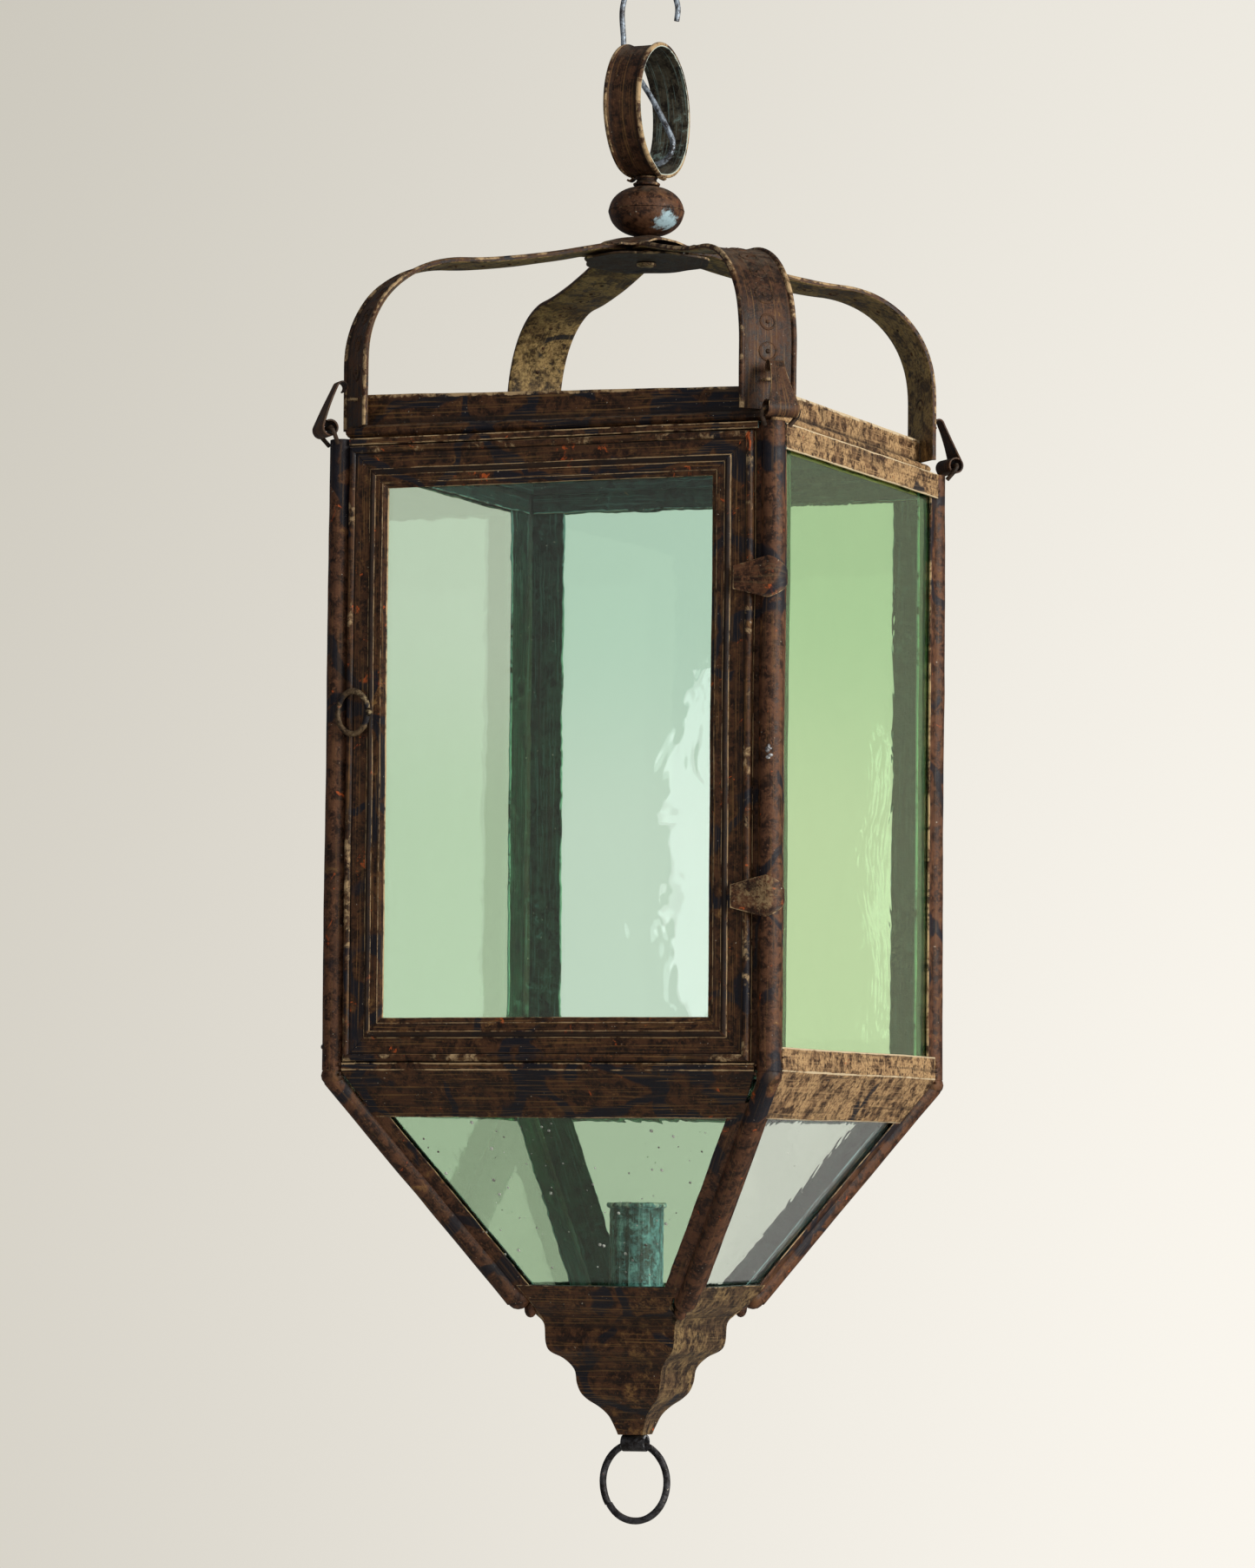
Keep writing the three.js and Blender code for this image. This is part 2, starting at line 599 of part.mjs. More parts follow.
const hubPlateTop = armHubZ - armSheet / 2 - gap - sheet;
add('hub_plate', tube(hubPlateRadius, spindleRadius + gap, hubPlateTop - sheet, hubPlateTop, 24),
  tin(paint.umber));
const capTop = ballBottom - gap;
const capEdge = armHubZ + armSheet + armRim + 2 * gap;
add('hub_cap', turned([
  [spindleRadius + gap, capTop - sheet], [hubCapRadius * 0.7, capTop - sheet * 1.6],
  [hubCapRadius, capEdge], [hubCapRadius + 0.4, capEdge + sheet],
  [hubCapRadius * 0.7 + 0.5, capTop - sheet * 0.5], [spindleRadius + gap, capTop],
], 8).rotateZ(Math.PI / 8), tin(paint.umber));

// ---- ball, spindle and hanging ring ----
function ballHalf(upper) {
  const radius = ballDiameter / 2;
  const rise = ballHeight / 2 - gap / 2;
  const outer = [];
  const inner = [];
  const steps = 6;
  const hole = spindleRadius + gap;
  for (let i = 0; i <= steps; i += 1) {
    const angle = Math.PI / 2 * i / steps;
    const bow = Math.pow(Math.cos(angle), 0.86);
    outer.push([Math.max(radius * bow, hole), gap / 2 + rise * Math.sin(angle)]);
    const thin = Math.max((radius - ballWall) * bow, hole);
    inner.push([thin, gap / 2 + (rise - ballWall) * Math.sin(angle)]);
  }
  const points = [...outer, ...inner.reverse()];
  const middle = ballBottom + ballHeight / 2;
  const turnedPoints = points.map(([r, z]) => [r, upper ? middle + z : middle - z]);
  return turned(upper ? turnedPoints : turnedPoints.reverse(), 20);
}
add('ball_lower', ballHalf(false), tin(paint.brown));
add('ball_upper', ballHalf(true), tin(paint.brown));

const ringBottomInside = ringCentre - ringInner;
function spindle() {
  const tail = hubPlateTop - sheet - gap;
  const neckLow = ballTop + gap;
  const neckHigh = neckLow + neckHeight;
  const headRadius = neckRadius - 1;
  const head = ringBottomInside + gap + ringInner - Math.sqrt(ringInner ** 2 - headRadius ** 2);
  const profile = [
    [0, tail - 2], [neckRadius - 1.5, tail - 2], [neckRadius - 1, tail], [spindleRadius, tail],
    [spindleRadius, neckLow], [neckRadius, neckLow], [neckRadius - 0.8, neckHigh],
    [spindleRadius, neckHigh], [spindleRadius, head], [headRadius, head],
    [headRadius - 1.5, head + 1.1], [0, head + 1.4],
  ];
  return new THREE.LatheGeometry(profile.map(([r, z]) => v2(r, z)), 16).rotateX(Math.PI / 2);
}
add('spindle', spindle(), tin(paint.umber));

function hangingRing() {
  const wide = ringBand / 2;
  const floor = ringRadius - ringRim;
  const band = turned([
    [ringInner, -wide], [ringRadius, -wide], [ringRadius, -wide + ringRimWidth],
    [floor, -wide + ringRimWidth + 0.8], [floor, wide - ringRimWidth - 0.8],
    [ringRadius, wide - ringRimWidth], [ringRadius, wide], [ringInner, wide],
  ], 36).rotateY(Math.PI / 2);
  return cut(band, rod(spindleRadius + gap, -ringRadius - 2, -ringInner + 4, 20));
}
add('hanging_ring', hangingRing(), tin(paint.brown), (mesh) => { mesh.position.z = ringCentre; });

// ---- corner clasps ----
const pinReach = half * diagonal + postRadius + claspPinOut;
const pinZ = bodyTop + claspPinRise;
function claspPin() {
  const across = claspPinLength / 2;
  const foot = (y) => v3(pinReach - claspPinFootIn, y, bodyTop - claspPinFootDrop);
  const knee = (y) => v3(pinReach - claspPinBend / 2, y, pinZ - claspPinBend);
  const path = polyline([
    foot(claspPinBend - across), knee(-across), v3(pinReach, -across, pinZ),
    v3(pinReach, across, pinZ), knee(across), foot(across - claspPinBend),
  ]);
  return wire(path, claspPinWire, 16, 6);
}
function claspLink() {
  const eye = tube(claspEye / 2, claspEye / 2 - claspSheet, -claspEyeLength / 2, claspEyeLength / 2, 12);
  const curlShape = new THREE.Shape();
  const curlOuter = claspCurl / 2;
  const curlInner = curlOuter - claspSheet;
  const from = -150 * Math.PI / 180;
  const to = 130 * Math.PI / 180;
  curlShape.absarc(-claspLean, claspRise, curlOuter, from, to, false);
  curlShape.absarc(-claspLean, claspRise, curlInner, to, from, true);
  const settings = { depth: claspWidth, bevelEnabled: false, curveSegments: 7 };
  const curl = new THREE.ExtrudeGeometry(curlShape, settings).translate(0, 0, -claspWidth / 2);
  const lean = Math.atan2(claspLean, claspRise);
  const length = Math.hypot(claspLean, claspRise);
  const eyeOuter = claspEye / 2;
  const strip = new THREE.ExtrudeGeometry(polygon([
    [eyeOuter - claspSheet, 0], [eyeOuter, 0], [curlOuter, length], [curlInner, length],
  ]), settings).translate(0, 0, -claspWidth / 2).rotateZ(lean);
  return join(eye, strip, curl).rotateX(Math.PI / 2);
}
for (const [corner, turns] of corners) {
  add(`clasp_pin_${corner}`, claspPin(), tin(paint.umber), (mesh) => eighthTurn(mesh, turns));
  const holder = new THREE.Group();
  const link = new THREE.Mesh(claspLink(), tin(paint.umber));
  link.name = `clasp_link_${corner}`;
  link.position.set(pinReach, 0, pinZ);
  holder.rotation.z = (turns + 0.5) * Math.PI / 2;
  holder.add(link);
  lantern.add(holder);
}

// ---- wire hook, resting in the ring ----
// Its upper bend is measured from the ring's inside top, and its lower bend from the inside bottom.
function hook() {
  const upper = [[15.3, 13.1], [15.6, 21.4], [10.5, 32.9], [0.5, 37], [-9.6, 32.4], [-14, 21.4],
    [-13.3, 6.4], [-12.4, -0.6], [-6.5, -11.6], [2, -24.6]];
  const lower = [[11, 22.6], [14.2, 14.6], [11.6, 7.6], [5, 4.4], [-2, 6.6]];
  const points = [
    ...upper.map(([x, z]) => v3(x, 0, ringInner + z)),
    ...lower.map(([x, z]) => v3(x, 0, z - ringInner)),
  ];
  const path = new THREE.CatmullRomCurve3(points, false, 'centripetal');
  return wire(path, hookWire, 40, 8);
}
add('hook', hook(), tin(paint.wire, 0.45, 0.85), (mesh) => { mesh.position.z = ringCentre; });

const model = new THREE.Group();
model.add(lantern);
export default model;
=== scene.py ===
import json
import math
import bmesh
import bpy
from mathutils import Matrix, Vector, noise


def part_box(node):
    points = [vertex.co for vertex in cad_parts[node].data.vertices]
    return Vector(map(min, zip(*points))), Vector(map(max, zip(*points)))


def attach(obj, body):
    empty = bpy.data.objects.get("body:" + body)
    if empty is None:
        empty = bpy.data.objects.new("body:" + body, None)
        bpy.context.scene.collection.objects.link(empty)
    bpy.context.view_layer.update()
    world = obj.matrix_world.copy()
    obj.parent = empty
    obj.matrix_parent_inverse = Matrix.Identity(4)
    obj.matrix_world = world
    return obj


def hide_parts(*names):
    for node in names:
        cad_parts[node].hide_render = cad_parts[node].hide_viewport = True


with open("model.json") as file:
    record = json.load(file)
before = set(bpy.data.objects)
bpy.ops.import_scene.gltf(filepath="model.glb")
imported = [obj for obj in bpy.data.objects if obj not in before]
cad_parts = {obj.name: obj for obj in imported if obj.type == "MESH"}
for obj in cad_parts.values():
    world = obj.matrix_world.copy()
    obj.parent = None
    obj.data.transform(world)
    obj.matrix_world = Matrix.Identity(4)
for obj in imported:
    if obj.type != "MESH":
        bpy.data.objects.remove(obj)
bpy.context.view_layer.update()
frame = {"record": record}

record = frame["record"]
bodyOf = {node: body for body, nodes in record["behaviour"]["bodies"].items() for node in nodes}
slotOf = {part["node"]: part["material_slot"] for part in record["subparts"]}

# The lantern is drawn in millimetres above the fold between body and hopper, then put in the frame.
mm = 0.001
postRadius = 5.75
postLow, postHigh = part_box("post_back_right")
half = postHigh.x / mm - postRadius            # from the lantern's axis to a post's axis
foldZ = postLow.z - 3.7 * mm
bodyTop = (postHigh.z - foldZ) / mm
sheet = 1.2
gap = 0.3
sides = [("right", 0), ("back", 1), ("left", 2), ("front", 3)]
corners = [("back_right", 0), ("back_left", 1), ("front_left", 2), ("front_right", 3)]
signs = [(1, 1), (-1, 1), (-1, -1), (1, -1)]    # of x and y at each corner

hopper = dict(foot=42, height=111.5, ribRadius=5.25)
slope = (half - hopper["foot"]) / hopper["height"]
slopeLength = math.hypot(1, slope)
downSlope = Vector((-slope, -1)) / slopeLength  # along a hopper side: (reach, height)
outSlope = Vector((1, -slope)) / slopeLength

camera = dict(azimuth=22.5, away=2.892, height=-0.5647, aimHeight=-0.3692, aimAside=-0.0068, roll=0.53,
              lens=133.96)


def setCamera():
    data = bpy.data.cameras.new("camera")
    data.lens = camera["lens"]
    data.clip_end = 50
    turn = math.radians(camera["azimuth"])
    right = Vector((math.cos(turn), math.sin(turn), 0))
    spot = Vector((math.sin(turn), -math.cos(turn), 0)) * camera["away"]
    spot.z = camera["height"]
    aim = right * camera["aimAside"] + Vector((0, 0, camera["aimHeight"]))
    facing = (aim - spot).to_track_quat("-Z", "Y").to_matrix().to_4x4()
    holder = bpy.data.objects.new("camera", data)
    roll = Matrix.Rotation(math.radians(camera["roll"]), 4, "Z")
    holder.matrix_world = Matrix.Translation(spot) @ facing @ roll
    bpy.context.scene.collection.objects.link(holder)
    bpy.context.scene.camera = holder


setCamera()
print("camera set")


def put(tree, kind, inputs=None, **settings):
    node = tree.nodes.new(kind)
    for key, value in settings.items():
        setattr(node, key, value)
    for key, value in (inputs or {}).items():
        if isinstance(value, bpy.types.NodeSocket):
            tree.links.new(value, node.inputs[key])
        else:
            node.inputs[key].default_value = value
    return node


def newGroup(name, kind, inputs, outputs):
    group = bpy.data.node_groups.new(name, kind)
    for label, socket, value in inputs:
        item = group.interface.new_socket(label, in_out="INPUT", socket_type=socket)
        if value is not None:
            item.default_value = value
    for label, socket in outputs:
        group.interface.new_socket(label, in_out="OUTPUT", socket_type=socket)
    return group, group.nodes.new("NodeGroupInput").outputs, group.nodes.new("NodeGroupOutput").inputs


def ramp(tree, value, low, high):
    # 0 below low, 1 above high, smooth between them
    node = put(tree, "ShaderNodeMapRange", {"Value": value, "From Min": low, "From Max": high},
               interpolation_type="SMOOTHSTEP")
    return node.outputs["Result"]


def maths(tree, operation, *values):
    node = put(tree, "ShaderNodeMath", dict(enumerate(values)), operation=operation)
    return node.outputs[0]


def blend(tree, factor, first, second, mode="MIX"):
    node = put(tree, "ShaderNodeMix", {"Factor": factor, 6: first, 7: second}, data_type="RGBA",
               blend_type=mode)
    return node.outputs[2]


def grainAt(tree, vector, scale, detail=4, rough=0.55, distortion=0.0):
    node = put(tree, "ShaderNodeTexNoise", {"Vector": vector, "Scale": scale, "Detail": detail,
                                            "Roughness": rough, "Distortion": distortion})
    return node.outputs["Fac"]


def makeMarbling():
    # old hand marbling: ochre clouds and rust flecks on a brown ground, with short blue-black veins
    group, given, out = newGroup("marbling", "ShaderNodeTree", [
        ("Ground", "NodeSocketColor", None), ("Cloud", "NodeSocketColor", None),
        ("Fleck", "NodeSocketColor", None), ("Vein", "NodeSocketColor", None),
        ("Cloud Share", "NodeSocketFloat", 0.5), ("Fleck Share", "NodeSocketFloat", 0.5),
        ("Vein Share", "NodeSocketFloat", 0.5)],
        [("Color", "NodeSocketColor"), ("Height", "NodeSocketFloat"), ("Tone", "NodeSocketFloat")])
    where = put(group, "ShaderNodeTexCoord").outputs["Object"]
    broad = grainAt(group, where, 42, 6, 0.64, 0.8)
    small = grainAt(group, where, 170, 5, 0.68, 0.4)
    fine = grainAt(group, where, 620, 4, 0.7)
    # the ground goes from soot brown to the full brown
    deep = blend(group, 1.0, given["Ground"], (0.16, 0.13, 0.12, 1), "MULTIPLY")
    light = blend(group, 1.0, given["Ground"], (1.45, 1.5, 1.5, 1), "MULTIPLY")
    color = blend(group, ramp(group, small, 0.4, 0.6), deep, given["Ground"])
    color = blend(group, ramp(group, fine, 0.5, 0.72), color, light)
    # ochre clouds, broken up by finer grain
    mottled = maths(group, "ADD", maths(group, "MULTIPLY", broad, 0.55),
                    maths(group, "MULTIPLY", small, 0.45))
    edge = maths(group, "SUBTRACT", 0.68, maths(group, "MULTIPLY", given["Cloud Share"], 0.26))
    cloud = ramp(group, mottled, maths(group, "SUBTRACT", edge, 0.03), maths(group, "ADD", edge, 0.07))
    cloud = maths(group, "MULTIPLY", cloud, ramp(group, fine, 0.38, 0.58))
    color = blend(group, cloud, color, given["Cloud"])
    # rust flecks
    aside = put(group, "ShaderNodeVectorMath", {0: where, 1: (3.1, 1.7, 0.4)}, operation="ADD").outputs[0]
    flecks = grainAt(group, aside, 95, 5, 0.72, 0.9)
    fleckEdge = maths(group, "SUBTRACT", 0.76, maths(group, "MULTIPLY", given["Fleck Share"], 0.2))
    fleck = ramp(group, flecks, fleckEdge, maths(group, "ADD", fleckEdge, 0.05))
    color = blend(group, maths(group, "MULTIPLY", fleck, 0.85), color, given["Fleck"])
    # veins follow the edges of bent cells, only here and there
    bent = put(group, "ShaderNodeTexNoise", {"Vector": where, "Scale": 30, "Detail": 2})
    shifted = put(group, "ShaderNodeVectorMath", {0: bent.outputs["Color"], 1: (0.035, 0.035, 0.035),
                                                  2: where}, operation="MULTIPLY_ADD")
    cells = put(group, "ShaderNodeTexVoronoi", {"Vector": shifted.outputs[0], "Scale": 24},
                feature="DISTANCE_TO_EDGE")
    line = maths(group, "SUBTRACT", 1, ramp(group, cells.outputs["Distance"], 0.04, 0.07))
    veinEdge = maths(group, "SUBTRACT", 0.7, maths(group, "MULTIPLY", given["Vein Share"], 0.28))
    vein = maths(group, "MULTIPLY", line, ramp(group, grainAt(group, where, 19, 3, 0.5), veinEdge,
                                               maths(group, "ADD", veinEdge, 0.03)))
    color = blend(group, maths(group, "MULTIPLY", vein, 0.93), color, given["Vein"])
    # pale specks
    speck = ramp(group, grainAt(group, aside, 640, 2, 0.5), 0.735, 0.77)
    color = blend(group, maths(group, "MULTIPLY", speck, 0.75), color, (0.5, 0.45, 0.36, 1))
    height = maths(group, "ADD", maths(group, "MULTIPLY", small, 0.6), maths(group, "MULTIPLY", fine, 0.4))
    group.links.new(color, out["Color"])
    group.links.new(height, out["Height"])
    group.links.new(cloud, out["Tone"])
    return group


def makeStreaks():
    # fine brush and rolling marks that run along each strip
    group, given, out = newGroup("streaks", "ShaderNodeTree",
                                 [("Along", "NodeSocketFloat", 22.0), ("Across", "NodeSocketFloat", 900.0)],
                                 [("Mask", "NodeSocketFloat"), ("Broad", "NodeSocketFloat")])
    place = put(group, "ShaderNodeUVMap", uv_map="strip").outputs[0]
    parts = put(group, "ShaderNodeSeparateXYZ", {0: place}).outputs
    fine = put(group, "ShaderNodeCombineXYZ", {0: maths(group, "MULTIPLY", parts[0], given["Along"]),
                                               1: maths(group, "MULTIPLY", parts[1], given["Across"])})
    wide = put(group, "ShaderNodeCombineXYZ", {
        0: maths(group, "MULTIPLY", parts[0], maths(group, "MULTIPLY", given["Along"], 0.5)),
        1: maths(group, "MULTIPLY", parts[1], maths(group, "MULTIPLY", given["Across"], 0.3))})
    group.links.new(grainAt(group, fine.outputs[0], 1, 4, 0.6), out["Mask"])
    group.links.new(grainAt(group, wide.outputs[0], 1, 3, 0.5), out["Broad"])
    return group


def makeEdgeWear():
    # paint rubbed through on bends and free edges; painted shade darkens the inside corners, and dark smudges
    # lie here and there
    group, given, out = newGroup("edgeWear", "ShaderNodeTree",
                                 [("Rub", "NodeSocketFloat", 0.5), ("Dirt", "NodeSocketFloat", 0.5)],
                                 [("Worn", "NodeSocketFloat"), ("Grime", "NodeSocketFloat"),
                                  ("Dust", "NodeSocketFloat")])
    edge = put(group, "ShaderNodeAttribute", attribute_name="edge").outputs["Fac"]
    where = put(group, "ShaderNodeTexCoord").outputs["Object"]
    chips = grainAt(group, where, 190, 5, 0.7, 0.4)
    patches = grainAt(group, where, 34, 3, 0.55)
    reach = maths(group, "ADD", maths(group, "MULTIPLY", edge, 0.5), maths(group, "MULTIPLY", patches, 0.5))
    reach = maths(group, "ADD", reach, maths(group, "MULTIPLY", chips, 0.5))
    limit = maths(group, "SUBTRACT", 1.08, maths(group, "MULTIPLY", given["Rub"], 0.3))
    group.links.new(ramp(group, reach, limit, maths(group, "ADD", limit, 0.1)), out["Worn"])
    # painted shade: the inside corners (negative edge weights) darken toward the grime colour
    inside = maths(group, "MULTIPLY", maths(group, "MAXIMUM", maths(group, "MULTIPLY", edge, -1), 0),
                   given["Dirt"])
    smudge = maths(group, "MULTIPLY", ramp(group, grainAt(group, where, 48, 5, 0.6), 0.5, 0.75),
                   maths(group, "MULTIPLY", given["Dirt"], 0.55))
    group.links.new(maths(group, "MAXIMUM", inside, smudge), out["Grime"])
    up = put(group, "ShaderNodeSeparateXYZ", {0: put(group, "ShaderNodeNewGeometry").outputs["Normal"]})
    lying = maths(group, "MULTIPLY", ramp(group, up.outputs[2], 0.55, 1.0), ramp(group, chips, 0.35, 0.6))
    group.links.new(lying, out["Dust"])
    return group


marbling = makeMarbling()
streaks = makeStreaks()
edgeWear = makeEdgeWear()


def newFinish(name):
    material = bpy.data.materials.new(name)
    material.use_nodes = True
    material.node_tree.nodes.clear()
    return material, material.node_tree


brownLook = dict(ground=(0.088, 0.036, 0.0145), cloud=(0.25, 0.135, 0.045), fleck=(0.52, 0.1, 0.018),
                 vein=(0.005, 0.007, 0.014), clouds=0.46, flecks=0.45, veins=0.5, rub=0.55, dirt=0.8,
                 streak=0.5, grime=(0.012, 0.007, 0.005), bare=(0.46, 0.32, 0.17), smooth=0.38, rough=0.72,
                 bump=0.8, metal=0.0, shine=0.28)


def paintedTin(name, **changes):
    look = {**brownLook, **changes}
    material, tree = newFinish(name)
    marble = put(tree, "ShaderNodeGroup", node_tree=marbling)
    for key in ("Ground", "Cloud", "Fleck", "Vein"):
        marble.inputs[key].default_value = (*look[key.lower()], 1)
    marble.inputs["Cloud Share"].default_value = look["clouds"]
    marble.inputs["Fleck Share"].default_value = look["flecks"]
    marble.inputs["Vein Share"].default_value = look["veins"]
    streak = put(tree, "ShaderNodeGroup", node_tree=streaks)
    wear = put(tree, "ShaderNodeGroup", {"Rub": look["rub"], "Dirt": look["dirt"]}, node_tree=edgeWear)
    color = marble.outputs["Color"]
    lines = maths(tree, "MULTIPLY", ramp(tree, streak.outputs["Mask"], 0.52, 0.64), look["streak"])
    color = blend(tree, lines, color, (*look["cloud"], 1))
    darkLines = maths(tree, "MULTIPLY", ramp(tree, streak.outputs["Broad"], 0.53, 0.66), look["streak"])
    color = blend(tree, darkLines, color, (0.014, 0.009, 0.007, 1))
    # painted shade in the inside corners, together with dark smudges, both in the grime colour
    color = blend(tree, wear.outputs["Grime"], color, (*look["grime"], 1))
    color = blend(tree, wear.outputs["Worn"], color, (*look["bare"], 1))
    color = blend(tree, maths(tree, "MULTIPLY", wear.outputs["Dust"], 0.35), color, (0.23, 0.19, 0.14, 1))
    if "patch" in look:
        # one place where the old blue paint still shows
        where = put(tree, "ShaderNodeTexCoord").outputs["Object"]
        far = put(tree, "ShaderNodeVectorMath", {0: where, 1: look["patch"][:3]}, operation="DISTANCE")
        near = maths(tree, "ADD", ramp(tree, far.outputs["Value"], look["patch"][3], 0),
                     maths(tree, "MULTIPLY", grainAt(tree, where, 260, 6, 0.75), 1.3))
        color = blend(tree, ramp(tree, near, 1.24, 1.5), color, (0.38, 0.54, 0.6, 1))
    roughness = put(tree, "ShaderNodeMapRange", {"Value": marble.outputs["Height"], "From Min": 0.35,
                                                 "From Max": 0.65, "To Min": look["smooth"],
                                                 "To Max": look["rough"]}).outputs["Result"]
    roughness = maths(tree, "ADD", roughness, maths(tree, "MULTIPLY", wear.outputs["Dust"], 0.15))
    height = maths(tree, "ADD", marble.outputs["Height"],
                   maths(tree, "MULTIPLY", streak.outputs["Mask"], look["streak"] * 0.6))
    height = maths(tree, "SUBTRACT", height, maths(tree, "MULTIPLY", wear.outputs["Worn"], 0.35))
    bump = put(tree, "ShaderNodeBump", {"Strength": look["bump"], "Distance": 0.0007, "Height": height})
    shader = put(tree, "ShaderNodeBsdfPrincipled", {
        "Base Color": color, "Roughness": roughness, "Metallic": look["metal"],
        "Specular IOR Level": look["shine"], "Normal": bump.outputs["Normal"]})
    put(tree, "ShaderNodeOutputMaterial", {"Surface": shader.outputs[0]})
    return material


postPaint = paintedTin("postPaint", ground=(0.11, 0.046, 0.022), clouds=0.3, streak=0.2, rub=0.42,
                                    flecks=0.55, veins=0.75)
doorPaint = paintedTin("doorPaint", ground=(0.072, 0.029, 0.0115), clouds=0.32, flecks=0.66, streak=0.45,
                                    rub=0.55, veins=0.9)
bandPaint = paintedTin("bandPaint", ground=(0.072, 0.029, 0.0115), clouds=0.3, flecks=0.55, streak=0.45,
                                    rub=0.5, veins=1.0)
# a paler ochre copy for the right sides: partly the paint's own ochre, partly painted light from the lamp
# side
litOchrePaint = paintedTin("litOchrePaint", ground=(0.22, 0.125, 0.06), cloud=(0.48, 0.31, 0.15), clouds=0.8,
                                      flecks=0.36, veins=0.3, rub=0.75, streak=0.45,
                                      bare=(0.6, 0.48, 0.31))
strapPaint = paintedTin("strapPaint", ground=(0.11, 0.045, 0.02), cloud=(0.26, 0.18, 0.09), clouds=0.5,
                                      flecks=0.75, rub=0.75, streak=0.2)
finialPaint = paintedTin("finialPaint", veins=0.95, clouds=0.4, flecks=0.35, streak=0.5, rub=0.5)
# a paler copy for the right finial plate: partly paler paint, partly painted light from the lamp side
finialLitPalePaint = paintedTin("finialLitPalePaint", ground=(0.12, 0.07, 0.034), cloud=(0.27, 0.18, 0.078),
    clouds=0.65, veins=0.3, streak=0.3, rub=0.6)
crownPaint = paintedTin("crownPaint", ground=(0.07, 0.029, 0.013), clouds=0.26, flecks=0.25, veins=0.15,
                                      streak=0.4, rub=0.5)
armBackPaint = paintedTin("armBackPaint", ground=(0.16, 0.095, 0.04), cloud=(0.36, 0.24, 0.1), clouds=0.75,
    flecks=0.15, veins=0.05, streak=0.3, rub=0.4)
ringInnerPaint = paintedTin("ringInnerPaint", ground=(0.07, 0.06, 0.04), cloud=(0.2, 0.3, 0.28),
    clouds=0.5, flecks=0.2, veins=0.2, rub=0.95, bare=(0.55, 0.62, 0.55))
ballPaint = paintedTin("ballPaint", patch=(0.0165, -0.009, foldZ + 0.4255, 0.02),
                                    ground=(0.1, 0.044, 0.021), clouds=0.42, streak=0.0, flecks=0.3,
                                    veins=0.1, rub=0.3, smooth=0.32, rough=0.6)
# the inward faces: their own dark teal finish, made darker still with painted shade
shadedInsideTin = paintedTin("shadedInsideTin", ground=(0.013, 0.03, 0.026), cloud=(0.045, 0.105, 0.098),
                                    fleck=(0.09, 0.065, 0.025), clouds=0.35, flecks=0.4, veins=0.2,
                                    streak=0.6, rub=0.6, bare=(0.13, 0.26, 0.26), shine=0.2)
cupPaint = paintedTin("cupPaint", ground=(0.1, 0.23, 0.27), cloud=(0.26, 0.46, 0.5),
                                  fleck=(0.03, 0.045, 0.045), clouds=0.6, flecks=0.45, veins=0.3,
                                  streak=0.7, rub=0.5, bare=(0.6, 0.66, 0.62))
darkPaint = paintedTin("darkPaint", ground=(0.045, 0.027, 0.018), clouds=0.25, flecks=0.15, veins=0.3,
                                    streak=0.2, rub=0.3)
ironWire = paintedTin("ironWire", ground=(0.05, 0.05, 0.056), cloud=(0.14, 0.14, 0.15),
                                  fleck=(0.25, 0.08, 0.03), clouds=0.4, flecks=0.35, veins=0.0, streak=0.0,
                                  rub=0.4, bare=(0.36, 0.38, 0.4), metal=0.3, smooth=0.34, rough=0.6)
rustyWire = paintedTin("rustyWire", ground=(0.13, 0.085, 0.045), cloud=(0.4, 0.32, 0.18), clouds=0.7,
                                    flecks=0.3, veins=0.2, streak=0.0, metal=0.2)
zincWire = paintedTin("zincWire", ground=(0.32, 0.38, 0.45), cloud=(0.44, 0.5, 0.56),
                                  fleck=(0.15, 0.16, 0.17), clouds=0.4, flecks=0.08, veins=0.0, streak=0.0,
                                  rub=0.2, dirt=0.15, metal=0.4, smooth=0.28, rough=0.5)
solderMetal = paintedTin("solderMetal", ground=(0.4, 0.41, 0.43), cloud=(0.62, 0.64, 0.67),
                                        fleck=(0.12, 0.09, 0.07), clouds=0.6, flecks=0.3, veins=0.1,
                                        streak=0.0, rub=0.4, metal=0.45)
solderPainted = paintedTin("solderPainted", clouds=0.4, flecks=0.2, veins=0.0, streak=0.0)
lime = paintedTin("lime", ground=(0.6, 0.63, 0.58), cloud=(0.8, 0.83, 0.79), fleck=(0.4, 0.4, 0.36),
                          clouds=0.6, flecks=0.1, veins=0.0, streak=0.0, rub=0.0, dirt=0.1, metal=0.0)


def windowGlass(name, high, low=None):
    # hand-drawn sheet glass, which may change colour on its way down; lamps shine through it
    material, tree = newFinish(name)
    where = put(tree, "ShaderNodeTexCoord").outputs["Object"]
    tint = (*high, 1)
    if low:
        height = put(tree, "ShaderNodeSeparateXYZ", {0: where}).outputs[2]
        tint = blend(tree, ramp(tree, height, foldZ + 0.12, foldZ + 0.25), (*low, 1), tint)
    waves = grainAt(tree, where, 22, 3, 0.5, 0.5)
    bump = put(tree, "ShaderNodeBump", {"Strength": 0.6, "Distance": 0.00035, "Height": waves})
    shader = put(tree, "ShaderNodeBsdfPrincipled", {
        "Base Color": tint, "Roughness": 0.012, "IOR": 1.5, "Transmission Weight": 1.0,
        "Metallic": 0.0, "Normal": bump.outputs["Normal"]})
    through = put(tree, "ShaderNodeBsdfTransparent", {"Color": tint})
    lamps = put(tree, "ShaderNodeLightPath").outputs["Is Shadow Ray"]
    mixed = put(tree, "ShaderNodeMixShader", {0: lamps, 1: shader.outputs[0], 2: through.outputs[0]})
    put(tree, "ShaderNodeOutputMaterial", {"Surface": mixed.outputs[0]})
    return material


